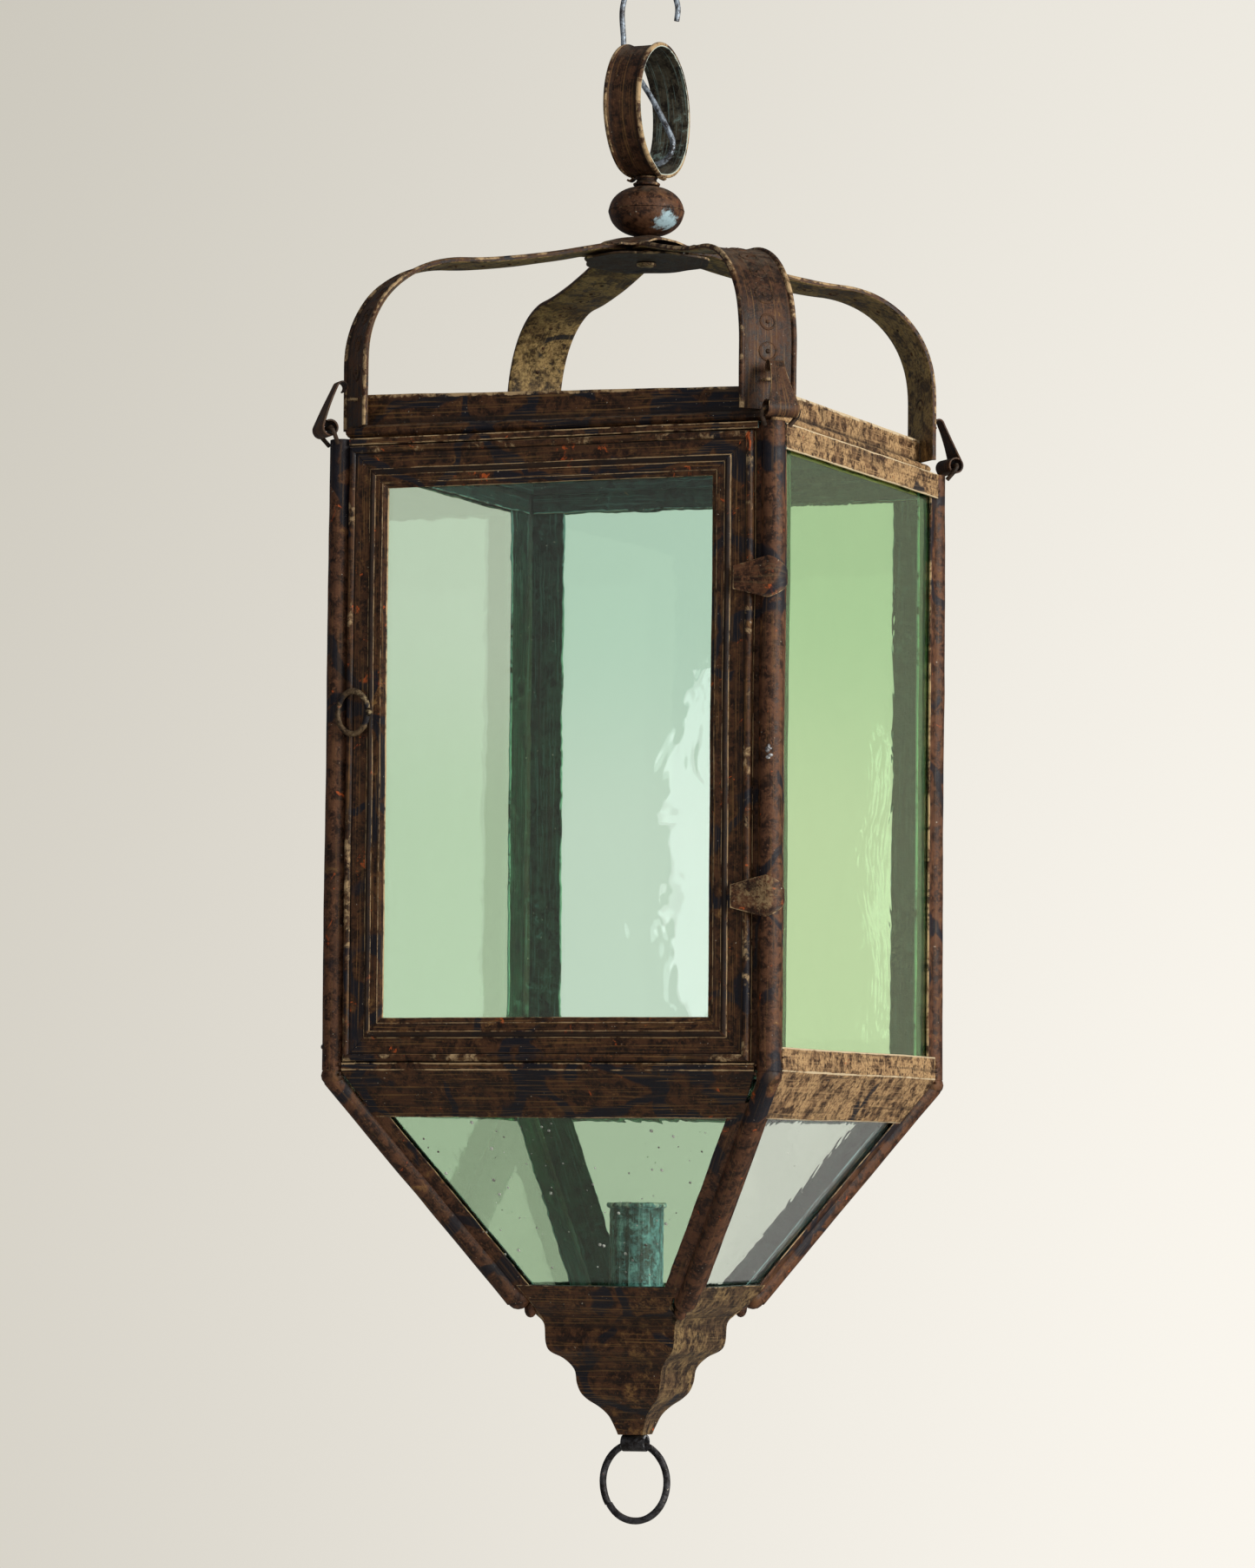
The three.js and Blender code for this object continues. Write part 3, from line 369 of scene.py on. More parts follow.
glassTint = dict(door=((0.8, 0.94, 0.88), (0.83, 0.955, 0.9)), back=((0.72, 0.925, 0.83), (0.82, 0.96, 0.89)),
                 left=((0.88, 0.94, 0.82), (0.72, 0.87, 0.66)), right=((0.72, 0.91, 0.55), (0.8, 0.965, 0.6)),
                 hopperFront=[(0.58, 0.73, 0.58)], hopperBack=[(0.78, 0.87, 0.79)],
                 hopperLeft=[(0.7, 0.79, 0.68)], hopperRight=[(0.97, 0.985, 0.97)])
glassFinish = {side: windowGlass(side + "Glass", *tint) for side, tint in glassTint.items()}
print("finishes made")

handWork = dict(bow=0.5, bowSize=95, dent=0.16, dentSize=17, seed=5)
noise.seed_set(handWork["seed"])    # without a seed the noise starts from the clock


def handmade(p):
    # everything is a little out of true, and neighbours are out by the same amount
    slow = noise.noise_vector(p / handWork["bowSize"])
    quick = noise.noise_vector(p / handWork["dentSize"] + Vector((7, 3, 1)))
    return p + slow * handWork["bow"] + quick * handWork["dent"]


def inFrame(points, plain=False):
    # from millimetres above the fold to metres in the frame
    place = Vector((0, 0, foldZ))
    return [(p if plain else handmade(p)) * mm + place for p in points]


def quarter(turns):
    return Matrix.Rotation(turns * math.pi / 2, 3, "Z")


def eighth(turns):
    return quarter(turns + 0.5)


def newStock():
    return dict(points=[], faces=[], strips=[], edges=[], finishes=[])


def soften(outline, radius=0.5, steps=3, fade=1.2, closed=True):
    # rounds each corner of a counter-clockwise outline; gives (a, b, edge), edge 1 on a bend, -1 in a nook,
    # where the finishes paint shade
    result = []
    count = len(outline)
    for i, corner in enumerate(outline):
        here = Vector(corner[:2])
        before = Vector(outline[i - 1][:2])
        after = Vector(outline[(i + 1) % count][:2])
        back, ahead = before - here, after - here
        turn = back.angle_signed(ahead, 0)
        sharp = math.pi - abs(turn)
        if sharp < 0.12 or min(back.length, ahead.length) < 0.05 or (not closed and i in (0, count - 1)):
            result.append((here.x, here.y, 0.0))
            continue
        reach = min(radius * math.tan(sharp / 2), back.length * 0.42, ahead.length * 0.42)
        weight = 1.0 if turn > 0 else -1.0
        start, end = here + back.normalized() * reach, here + ahead.normalized() * reach
        if back.length * 0.5 > reach + fade:
            lead = here + back.normalized() * (reach + fade)
            result.append((lead.x, lead.y, 0.0))
        for k in range(steps + 1):
            t = k / steps
            spot = start * (1 - t) ** 2 + here * 2 * t * (1 - t) + end * t ** 2
            result.append((spot.x, spot.y, weight))
        if ahead.length * 0.5 > reach + fade:
            tail = here + ahead.normalized() * (reach + fade)
            result.append((tail.x, tail.y, 0.0))
    return result


def loft(stock, rings, edges, finish=0, loop=False, caps=True, ringEdges=None):
    # skins a row of equal rings of points; loop joins the last ring to the first
    base = len(stock["points"])
    count, size = len(rings), len(rings[0])
    around = [0.0]
    for k in range(size):
        around.append(around[-1] + (rings[0][(k + 1) % size] - rings[0][k]).length * mm)
    travel = [0.0]
    for i in range(1, count + 1):
        first, second = rings[i - 1], rings[i % count]
        step = sum((second[k] - first[k]).length for k in range(0, size, max(1, size // 6)))
        travel.append(travel[-1] + step / len(range(0, size, max(1, size // 6))) * mm)
    for i, ring in enumerate(rings):
        extra = ringEdges[i] if ringEdges else 0.0
        for k, spot in enumerate(ring):
            stock["points"].append(spot)
            stock["edges"].append(max(edges[k], extra) if extra > 0 else edges[k])
    last = count if loop else count - 1
    for i in range(last):
        j = (i + 1) % count
        for k in range(size):
            m = (k + 1) % size
            stock["faces"].append([base + i * size + k, base + i * size + m, base + j * size + m,
                                   base + j * size + k])
            stock["strips"].append([(travel[i], around[k]), (travel[i], around[k + 1]),
                                    (travel[i + 1], around[k + 1]), (travel[i + 1], around[k])])
            pick = finish(k, i) if callable(finish) else finish
            stock["finishes"].append(pick)
    if caps and not loop:
        for i, order in ((0, -1), (count - 1, 1)):
            face = [base + i * size + k for k in range(size)][::order]
            stock["faces"].append(face)
            stock["strips"].append([(travel[i], around[k]) for k in range(size)][::order])
            stock["finishes"].append(finish(0, i) if callable(finish) else finish)
    return stock


def spread(length, step):
    return max(2, round(length / step)) + 1


def strip(stock, section, halfLength, turns=0, step=5, finish=0, endEdge=0.0):
    # one side of a square frame: the section is (reach, height, edge), its half length may vary over it
    turn = quarter(turns)
    longest = max(halfLength(a, b) for a, b, e in section)
    count = spread(2 * longest, step)
    shares = [2 * i / (count - 1) - 1 for i in range(count)]
    if endEdge:
        inset = 1.2 / longest
        shares = [-1, -1 + inset] + shares[1:-1] + [1 - inset, 1]
    rings = [[turn @ Vector((a, t * halfLength(a, b), b)) for a, b, e in section] for t in shares]
    marks = [endEdge if i in (0, len(shares) - 1) else 0.0 for i in range(len(shares))]
    return loft(stock, rings, [e for a, b, e in section], finish, ringEdges=marks)


def circle(radius, sides, edge=0.0):
    return [(radius * math.cos(2 * math.pi * k / sides), radius * math.sin(2 * math.pi * k / sides), edge)
            for k in range(sides)]


def along(stock, section, start, end, sideways, step=5, finish=0, scale=None):
    # a straight bar: the section's first axis lies along sideways, square to the bar
    direction = (end - start).normalized()
    first = (sideways - direction * sideways.dot(direction)).normalized()
    second = direction.cross(first)
    count = spread((end - start).length, step)
    rings = []
    for i in range(count):
        t = i / (count - 1)
        size = scale(t) if scale else (1, 1)
        middle = start.lerp(end, t)
        rings.append([middle + first * a * size[0] + second * b * size[1] for a, b, e in section])
    return loft(stock, rings, [e for a, b, e in section], finish)


def addLump(stock, place, radius, tall, turn=Matrix.Identity(3), tip=0.3, sides=20, edge=0.2):
    # a rounded lump of solder
    rings = []
    for k in range(9):
        angle = math.pi * (k / 8 - 0.5)
        size = tip + radius * math.cos(angle)
        rings.append([place + turn @ Vector((a * size, b * size, tall * math.sin(angle)))
                      for a, b, e in circle(1, sides)])
    return loft(stock, rings, [edge] * sides)


def bend(stock, section, path, sideways, finish=0, widths=None):
    # a flat strap bent along a path in one plane: the section is (across, out, edge)
    rings = []
    for i, spot in enumerate(path):
        before, after = path[max(i - 1, 0)], path[min(i + 1, len(path) - 1)]
        direction = (after - before).normalized()
        outward = sideways.cross(direction).normalized()
        size = widths[i] if widths else 1
        rings.append([spot + sideways * a * size + outward * b for a, b, e in section])
    return loft(stock, rings, [e for a, b, e in section], finish)


def turned(stock, profile, segments=64, finish=0, middle=Vector((0, 0, 0)), axis="Z", shape=None):
    # a closed (radius, height, edge) outline turned round an axis
    rings = []
    for i in range(segments):
        angle = 2 * math.pi * i / segments
        ring = []
        for r, z, e in profile:
            if shape:
                r, z = shape(r, z, angle)
            spot = Vector((r * math.cos(angle), r * math.sin(angle), z))
            if axis == "X":
                spot = Vector((spot.z, spot.x, spot.y))
            ring.append(spot + middle)
        rings.append(ring)
    return loft(stock, rings, [e for r, z, e in profile], finish, loop=True)


def toMesh(name, stock, finishes, plain=False):
    mesh = bpy.data.meshes.new(name)
    mesh.from_pydata(inFrame(stock["points"], plain), [], stock["faces"])
    layer = mesh.uv_layers.new(name="strip")
    layer.data.foreach_set("uv", [c for face in stock["strips"] for uv in face for c in uv])
    edge = mesh.attributes.new("edge", "FLOAT", "POINT")
    edge.data.foreach_set("value", stock["edges"])
    for finish in finishes:
        mesh.materials.append(finish)
    mesh.polygons.foreach_set("material_index", stock["finishes"])
    tidy = bmesh.new()
    tidy.from_mesh(mesh)
    bmesh.ops.recalc_face_normals(tidy, faces=tidy.faces[:])
    tidy.to_mesh(mesh)
    tidy.free()
    mesh.shade_smooth()
    mesh.set_sharp_from_angle(angle=math.radians(42))
    return mesh


def camel(name):
    words = name.split("_")
    return words[0] + "".join(word.capitalize() for word in words[1:])


def settle(mesh, *nodes, name=None, body=None, slot=None):
    # links a finished mesh, hangs it on the empty of its body and hides the parts it stands for
    piece = bpy.data.objects.new(name or camel(nodes[0]), mesh)
    bpy.context.scene.collection.objects.link(piece)
    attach(piece, body or bodyOf[nodes[0]])
    slot or slotOf[nodes[0]]
    if nodes:
        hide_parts(*nodes)
    return piece


# the hinge straps turn round the front right post, which leaves them room
strap = dict(height=20, length=9, inset=(78, 70), thick=0.9, room=11.2, clear=1.7)
doorBottom, doorTop = 8, bodyTop - 4
strapMiddles = (doorBottom + strap["inset"][0], doorTop - strap["inset"][1])

post = dict(lipReach=11.25, innerLipReach=22.75, lipOffset=1.4, sides=32, lipBottom=5.5, foot=3.7,
            doorLip=-1.45, bevel=0.35)


def makePost(corner, turns):
    sx, sy = signs[turns]
    centre = Vector((sx * half, sy * half, 0))
    stock = newStock()
    foot, top = centre.copy(), centre.copy()
    foot.z, top.z = post["foot"], bodyTop
    tube = []
    for k in range(post["sides"]):
        angle = 2 * math.pi * k / post["sides"]
        seam = -0.35 if abs(angle - math.pi * 1.25) < 0.1 else 0
        tube.append(((postRadius + seam) * math.cos(angle), (postRadius + seam) * math.sin(angle), 0.12))
    inner = Vector((-sx, -sy)).normalized()

    def looksIn(k, i):
        spot = Vector((tube[k][0], tube[k][1])).normalized()
        return 1 if spot.dot(inner) > 0.72 else 0

    # the post's section keeps the lantern's own axes
    count = spread(bodyTop - post["foot"], 4)
    heights = [post["foot"] + (bodyTop - post["foot"]) * i / (count - 1) for i in range(count)]
    rings = [[centre + Vector((a, b, z)) for a, b, e in tube] for z in heights]
    marks = [0.8 if i in (0, count - 1) else 0.0 for i in range(count)]
    loft(stock, rings, [e for a, b, e in tube], looksIn, ringEdges=marks)
    # solder where the post meets the hopper's rib
    addLump(stock, centre + Vector((0, 0, 1.2)), 5.9, 5.2, edge=0.25)

    low, high = post["lipBottom"], bodyTop - sheet - gap
    for wall in ("x", "y"):
        runsInX = wall == "x"
        isDoor = runsInX and sy < 0
        outward = sy if runsInX else sx
        offsets = [post["doorLip"]] if isDoor else [-post["lipOffset"] - sheet, post["lipOffset"]]
        for offset in offsets:
            isInner = offset < 0 and not isDoor
            near, far = postRadius - 1.4, post["innerLipReach"] if isInner else post["lipReach"]
            flat = soften([(near, offset), (far, offset), (far, offset + sheet), (near, offset + sheet)],
                          post["bevel"])
            count = spread(high - low, 4)
            heights = [low + (high - low) * i / (count - 1) for i in range(count)]
            rooms = strapMiddles if corner == "front_right" and not runsInX else []
            for middle in rooms:
                # the hinge straps turn past this lip, so it stands off the post beside them
                under, over = middle - strap["room"], middle + strap["room"]
                heights = [z for z in heights if not (abs(z - under) < 1 or abs(z - over) < 1)]
                heights += [under - 0.02, under + 0.02, over - 0.02, over + 0.02]
            rings = []
            for z in sorted(heights):
                beside = any(abs(z - middle) < strap["room"] for middle in rooms)
                ring = []
                for a, b, e in flat:
                    # the free edge is cut a little unevenly
                    place = Vector((sx * 9 + z * 0.09, sy * 7 + offset, a))
                    ragged = 0.35 * noise.noise(place) if a > far - 1 else 0
                    if beside:
                        a = max(a, postRadius + strap["clear"])
                    if runsInX:
                        ring.append(centre + Vector((-sx * (a + ragged), outward * b, z)))
                    else:
                        ring.append(centre + Vector((outward * b, -sy * (a + ragged), z)))
                rings.append(ring)
            loft(stock, rings, [e for a, b, e in flat], 1 if isInner else 0)
    mesh = toMesh(corner, stock, [postPaint, shadedInsideTin])
    settle(mesh, f"post_{corner}")


for corner, turns in corners:
    makePost(corner, turns)
print("posts made")

rail = dict(depth=9, topHeight=12.5, bottomHeight=11.2, floor=4, band=21)
railInner, railOuter = half - rail["depth"] / 2, half + rail["depth"] / 2
railHalf = half - postRadius - gap
bandOuter = (railOuter - half) * outSlope.x + rail["floor"] * outSlope.y
ribClear = (hopper["ribRadius"] + 0.6) * math.hypot(1, slope / slopeLength) + gap


def slopePoint(run, offset):
    return (half + run * downSlope.x + offset * outSlope.x, run * downSlope.y + offset * outSlope.y)


def ribLimit(z):
    return half + slope * z - ribClear


def facesIn(section, limit):
    # a face of the section is inside if it looks towards the lantern's axis
    picks = []
    for k, (a, b, e) in enumerate(section):
        na, nb, ne = section[(k + 1) % len(section)]
        normal = Vector((nb - b, a - na))
        picks.append(normal.length > 0 and normal.normalized().x < limit)
    return lambda k, i: 1 if picks[k] else 0


def makeTopRail(side, turns):
    low = bodyTop - rail["topHeight"]
    legEnd = doorTop + 0.6 if side == "front" else low
    leg = [(railOuter - sheet, bodyTop - sheet), (railOuter - sheet, legEnd), (railOuter, legEnd)]
    if side != "front":
        # the outer leg has a pressed line along its middle
        leg += [(railOuter, low + 6.0), (railOuter - 0.45, low + 6.7), (railOuter, low + 7.4)]
    section = soften([(railInner, low), (railInner + sheet, low), (railInner + sheet, bodyTop - sheet),
                      *leg, (railOuter, bodyTop), (railInner, bodyTop)], 0.45)
    # the small steps of the pressed line catch little wear
    section = [(a, b, 0.35 * e if a > railOuter - 0.6 and low + 5 < b < low + 8.5 else e)
               for a, b, e in section]
    stock = newStock()
    strip(stock, section, lambda a, b: railHalf, turns, 4, facesIn(section, -0.3))
    # the right side's rail takes the lit ochre copy, partly painted light
    settle(toMesh("topRail", stock, [litOchrePaint if side == "right" else bandPaint, shadedInsideTin]),
           f"top_rail_{side}")


def makeBottomRail(side, turns):
    floor = rail["floor"]
    high = floor + rail["bottomHeight"]
    legEnd = doorBottom - 0.6 if side == "front" else high
    inside = bandOuter - sheet
    start = (inside * outSlope.y - floor) / -downSlope.y
    middle = slopePoint(rail["band"] * 0.5, bandOuter)
    section = soften([
        (railOuter, floor), (railOuter, legEnd), (railOuter - sheet, legEnd),
        (railOuter - sheet, floor + sheet), (railInner + sheet, floor + sheet), (railInner + sheet, high),
        (railInner, high), (railInner, floor), slopePoint(start, inside),
        slopePoint(rail["band"], inside), slopePoint(rail["band"], bandOuter), middle], 0.55)
    stock = newStock()
    strip(stock, section, lambda a, b: min(railHalf, ribLimit(b)), turns, 4, facesIn(section, -0.3))
    # the right side's rail takes the lit ochre copy, partly painted light
    settle(toMesh("bottomRail", stock, [litOchrePaint if side == "right" else bandPaint, shadedInsideTin]),
           f"bottom_rail_{side}")


for side, turns in sides:
    makeTopRail(side, turns)
    makeBottomRail(side, turns)
print("rails made")

pane = dict(thick=2.2, inset=2.2, wave=0.025, waveSize=30)


def closeSheet(stock, wide, tall, size=1.0):
    # skins two facing grids of points, the second behind the first, and closes their rims
    row = wide + 1
    layer = row * (tall + 1)
    faces = []
    for j in range(tall):
        for i in range(wide):
            a = j * row + i
            faces.append([a, a + 1, a + row + 1, a + row])
            faces.append([a + layer + row, a + layer + row + 1, a + layer + 1, a + layer])
    rims = [(j * row + i, j * row + i + 1) for i in range(wide) for j in (0, tall)]
    rims += [(j * row + i, (j + 1) * row + i) for j in range(tall) for i in (0, wide)]
    faces += [[a, b, b + layer, a + layer] for a, b in rims]
    stock["faces"] += faces
    stock["strips"] += [[(0, 0), (size, 0), (size, size), (0, size)]] * len(faces)
    stock["finishes"] += [0] * len(faces)
    return stock


def paneSheet(corner, outward, thick, wide=26, tall=34):
    # a sheet of glass between four edges: corner(u, v) gives a point of its middle plane, u and v 0 to 1
    stock = newStock()
    for face in (1, -1):
        for j in range(tall + 1):
            for i in range(wide + 1):
                spot = corner(i / wide, j / tall)
                wave = noise.noise(spot / pane["waveSize"] + Vector((0, 0, face * 3))) * pane["wave"]
                rim = i in (0, wide) or j in (0, tall)
                stock["points"].append(spot + outward * (face * thick / 2 + (0 if rim else wave)))
                stock["edges"].append(0.0)
    return closeSheet(stock, wide, tall)


def makeSidePane(side, turns):
    turn = quarter(turns)
    wide = half - postRadius - pane["inset"]
    low, high = rail["floor"] + sheet + gap, bodyTop - sheet - gap

    def corner(u, v):
        return turn @ Vector((half, wide * (2 * u - 1), low + (high - low) * v))
    stock = paneSheet(corner, turn @ Vector((1, 0, 0)), pane["thick"])
    settle(toMesh("pane", stock, [glassFinish[side]], plain=True), f"pane_{side}")


def makeHopperPane(side, turns):
    turn = quarter(turns)
    middle = bandOuter - sheet - gap - pane["thick"] / 2
    high, low = 6.5, hopper["height"] * slopeLength - 11

    def corner(u, v):
        reach, height = slopePoint(low + (high - low) * v, middle)
        return turn @ Vector((reach, (ribLimit(height) - 0.9) * (2 * u - 1), height))
    outward = turn @ Vector((outSlope.x, 0, outSlope.y))
    stock = paneSheet(corner, outward, pane["thick"] - 0.3, tall=22)
    finish = glassFinish["hopper" + side.capitalize()]
    settle(toMesh("hopperPane", stock, [finish], plain=True), f"hopper_pane_{side}")


for side, turns in sides:
    if side != "front":
        makeSidePane(side, turns)
    makeHopperPane(side, turns)

door = dict(latchGap=0.6, hingeGap=2.8, depth=5.7, stile=21, rabbet=4, bottom=doorBottom, top=doorTop)
doorFront = half + postRadius
doorLeft, doorRight = -half + postRadius + door["latchGap"], half - postRadius - door["hingeGap"]
doorWidth, doorHeight = doorRight - doorLeft, door["top"] - door["bottom"]
doorMiddle = Vector(((doorLeft + doorRight) / 2, -doorFront, (door["top"] + door["bottom"]) / 2))


def doorSection(span):
    # (inward from the door's edge, depth): a rolled bead, a flat, a step and a bevel down to the glass
    wide, deep, seat = door["stile"], door["depth"], door["depth"] - pane["thick"] - gap
    bead = [(1.9 - 1.9 * math.cos(a), 1.9 - 1.9 * math.sin(a), 0.75)
            for a in (math.pi * k / 12 for k in range(1, 11))]
    rest = soften([(3.7, 1.35), (11.4, 1.5), (11.9, 0.75), (12.9, 0.35), (13.9, 0.75), (14.4, 1.15),
                   (wide - 2.6, 1.0), (wide, 2.2), (wide, seat), (wide - door["rabbet"], seat),
                   (wide - door["rabbet"], deep), (0, deep)], 0.3, 2, 0.7)
    # on the face's shallow steps the edge weight changes sign; where it is negative the colour takes painted
    # shade
    rest = [(a, b, -e if 0.1 < a < wide - 3 and b < 2 else e) for a, b, e in rest]
    outline = [(0, 2.4, 0.2)] + bead + rest
    return [(span / 2 - a, -b, e) for a, b, e in outline]


def makeDoorMember(node, turns, span, other):
    section = doorSection(span)
    stock = newStock()
    mitre = gap / math.sqrt(2)
    strip(stock, section, lambda a, b: other / 2 - (span / 2 - a) - mitre * 0.6, turns, 4,
          lambda k, i: 1 if section[k][1] < 0.1 - door["depth"] else 0, endEdge=0.35)
    stand = Matrix.Rotation(math.pi / 2, 3, "X")
    stock["points"] = [stand @ p + doorMiddle for p in stock["points"]]
    settle(toMesh("doorMember", stock, [doorPaint, shadedInsideTin]), node)


for node, turns, span, other in (("door_stile_hinge", 0, doorWidth, doorHeight),
                                 ("door_rail_top", 1, doorHeight, doorWidth),
                                 ("door_stile_latch", 2, doorWidth, doorHeight),
                                 ("door_rail_bottom", 3, doorHeight, doorWidth)):
    makeDoorMember(node, turns, span, other)


def makeDoorPane():
    inset = door["stile"] - door["rabbet"] + gap
    wide, tall = doorWidth / 2 - inset, doorHeight / 2 - inset
    behind = door["depth"] - pane["thick"] / 2

    def corner(u, v):
        return doorMiddle + Vector((wide * (1 - 2 * u), behind, tall * (2 * v - 1)))
    stock = paneSheet(corner, Vector((0, -1, 0)), pane["thick"] - 0.2)
    settle(toMesh("doorPane", stock, [glassFinish["door"]], plain=True), "door_pane")


makeDoorPane()


def makeHingeStrap(node, middle):
    # a tin tongue lies on the stile, wraps the hinge post and tapers to a point
    inner = postRadius + gap
    thick = strap["thick"]
    reach = postRadius + door["hingeGap"] + strap["length"]
    tall = strap["height"] / 2
    path, height = [], []
    for k in range(9):
        path.append(Vector((-reach + reach * k / 8, -inner - thick / 2, 0)))
        height.append(tall * (0.55 + 0.45 * k / 8))
    for k in range(1, 19):
        angle = math.radians(-90 + 105 * k / 18)
        path.append(Vector(((inner + thick / 2) * math.cos(angle), (inner + thick / 2) * math.sin(angle), 0)))
        height.append(tall * (1 - 0.72 * (k / 18) ** 1.4))
    flat = soften([(-1, -thick / 2), (1, -thick / 2), (1, thick / 2), (-1, thick / 2)], 0.03, 2, 0.1)
    rings = []
    for i, spot in enumerate(path):
        before, after = path[max(i - 1, 0)], path[min(i + 1, len(path) - 1)]
        run = (after - before).normalized()
        outward = Vector((run.y, -run.x, 0))
        rings.append([Vector((half, -half, middle)) + spot + Vector((0, 0, a * height[i])) + outward * b
                      for a, b, e in flat])
    stock = newStock()
    marks = [0.9 if i in (0, len(path) - 1) else 0.0 for i in range(len(path))]
    loft(stock, rings, [0.8 * e for a, b, e in flat], 0, ringEdges=marks)
    settle(toMesh("hingeStrap", stock, [strapPaint]), node)


for node, middle in zip(("hinge_strap_lower", "hinge_strap_upper"), strapMiddles):
    makeHingeStrap(node, middle)
print("door made")

rib = dict(startDrop=-0.5, endRise=5.5, lipWidth=9.5, innerLipWidth=19, lipThick=1.0, sides=28)
cornerDown = Vector((-slope, -slope, -1)).normalized()


def ribPoint(drop):
    return Vector((half, half, 0)) + cornerDown * (drop / -cornerDown.z)


def makeRib(corner, turns):
    turn = quarter(turns)
    start, end = turn @ ribPoint(rib["startDrop"]), turn @ ribPoint(hopper["height"] - rib["endRise"])
    stock = newStock()
    upright = turn @ Vector((1, 1, 0))
    along(stock, circle(hopper["ribRadius"], rib["sides"], 0.15), start, end, upright, 4,
          lambda k, i: 1 if abs(k / rib["sides"] - 0.5) < 0.13 else 0)
    # solder closes the tube's foot and runs into the finial
    addLump(stock, end - upright.normalized() * 1.5, 5.4, 5.6, turn)
    cornerReach = hopper["foot"] - 2.2
    addLump(stock, turn @ Vector((cornerReach, cornerReach, 0.4 - hopper["height"])), 2.9, 4.5, turn,
            tip=0.2, sides=16)
    # glazing lips lie on both faces of the panes beside the rib
    outer = bandOuter - sheet + 0.15
    innerFace = bandOuter - sheet - 2 * gap - pane["thick"] - rib["lipThick"] + 0.1
    for which, offset in ((0, outer), (1, innerFace)):
        for hand in (1, -1):
            rings = []
            count = 26
            runFrom, runTo = 12.5, hopper["height"] * slopeLength - 9
            for i in range(count):
                run = runFrom + (runTo - runFrom) * i / (count - 1)
                ring = []
                reach, height = slopePoint(run, 0)
                edgeAt = ribLimit(height)
                wave = 0.5 * noise.noise(Vector((run * 0.11, hand * 5 + turns * 9, which * 4)))
                width = rib["innerLipWidth"] if which and turns in (0, 1) else rib["lipWidth"]
                nearRib, farRib = edgeAt + 3.2, edgeAt - width + ribClear * 0.35 + wave
                for a, b in ((nearRib, 0), (farRib + 0.3, 0), (farRib, 0.3), (farRib, rib["lipThick"] - 0.3),
                             (farRib + 0.3, rib["lipThick"]), (nearRib, rib["lipThick"])):
                    r, z = slopePoint(run, offset + b)
                    spot = Vector((r, a, z)) if hand > 0 else Vector((a, r, z))
                    ring.append(turn @ spot)
                rings.append(ring)
            loft(stock, rings, [0, 0.4, 1, 1, 0.4, 0], which)
    settle(toMesh("rib", stock, [postPaint, shadedInsideTin]), f"hopper_rib_{corner}")


for corner, turns in corners:
    makeRib(corner, turns)

finial = dict(footBand=15, thick=0.9, curve=[(36.9, -115), (34.7, -119), (34.1, -127.5), (32.4, -132),
                                             (27.2, -135.6), (23.2, -141), (22.2, -147.6), (20.6, -152.6),
                                             (17.8, -156.2), (13.8, -159.6), (10.2, -164), (7.9, -169.4),
                                             (6.5, -173.5)])


def smoothCurve(points, steps=5):
    # a Catmull-Rom curve through the points
    result = []
    last = len(points) - 1
    for i in range(last):
        a, b, c, d = [Vector(points[max(0, min(last, i + k))]) for k in (-1, 0, 1, 2)]
        for t in (k / steps for k in range(steps)):
            straight = 2 * b + (c - a) * t
            curved = (2 * a - 5 * b + 4 * c - d) * t ** 2 + (3 * b - a - 3 * c + d) * t ** 3
            result.append(0.5 * (straight + curved))
    return result + [Vector(points[-1])]


def thicken(line, wall):
    # closes a line into an outline with a wall on its inner side
    inner = []
    for i, spot in enumerate(line):
        run = line[min(i + 1, len(line) - 1)] - line[max(i - 1, 0)]
        inner.append(spot + Vector((run.y, -run.x)).normalized() * wall)
    return line, inner


def makeFinialPlate(side, turns):
    slopeEnd = hopper["height"] * slopeLength
    top = [Vector(slopePoint(slopeEnd - finial["footBand"] + k * 3, bandOuter)) for k in range(5)]
    line = top + smoothCurve(finial["curve"])
    outer, inner = thicken(line, finial["thick"])
    creases = {}
    for i in range(1, len(outer) - 1):
        back, ahead = outer[i] - outer[i - 1], outer[i + 1] - outer[i]
        creases[i] = max(-0.6, min(0.5, back.angle_signed(ahead, 0) * 2.2))
    section = [(p.x, p.y, creases.get(i, 0.9)) for i, p in enumerate(outer)]
    section += [(p.x, p.y, 0.0) for p in reversed(inner)]
    ribFoot = -hopper["height"] + rib["endRise"] - hopper["ribRadius"] - gap
    stock = newStock()
    outerCount = len(outer)
    reachOut = lambda a, b: ribLimit(b) if b > ribFoot else a - gap * 0.4
    strip(stock, section, reachOut, turns, 3, lambda k, i: 0 if k < outerCount else 1, endEdge=0.95)
    # the right plate takes the lit copy, partly painted light
    finish = finialLitPalePaint if side == "right" else finialPaint
    settle(toMesh("finialPlate", stock, [finish, shadedInsideTin]), f"finial_plate_{side}")


for side, turns in sides:
    makeFinialPlate(side, turns)
print("hopper made")

cup = dict(trayRise=9.5, diameter=26.7, height=43, wall=1, rim=1.3)
trayTop = -hopper["height"] + cup["trayRise"]


def makeTray():
    lean = 1 / math.hypot(1, slope, slope)
    wide = half + slope * (trayTop - sheet) - (hopper["ribRadius"] + 0.6) / (math.sqrt(2) * lean)
    low = trayTop - sheet
    flat = soften([(-wide, low), (wide, low), (wide, trayTop), (-wide, trayTop)], 0.3)
    stock = newStock()
    rings = []
    steps = 14
    for k in range(steps + 1):
        y = wide * (2 * k / steps - 1)
        rings.append([Vector((a, y, b)) for a, b, e in flat])
    loft(stock, rings, [e for a, b, e in flat])
    settle(toMesh("tray", stock, [shadedInsideTin]), "candle_tray")


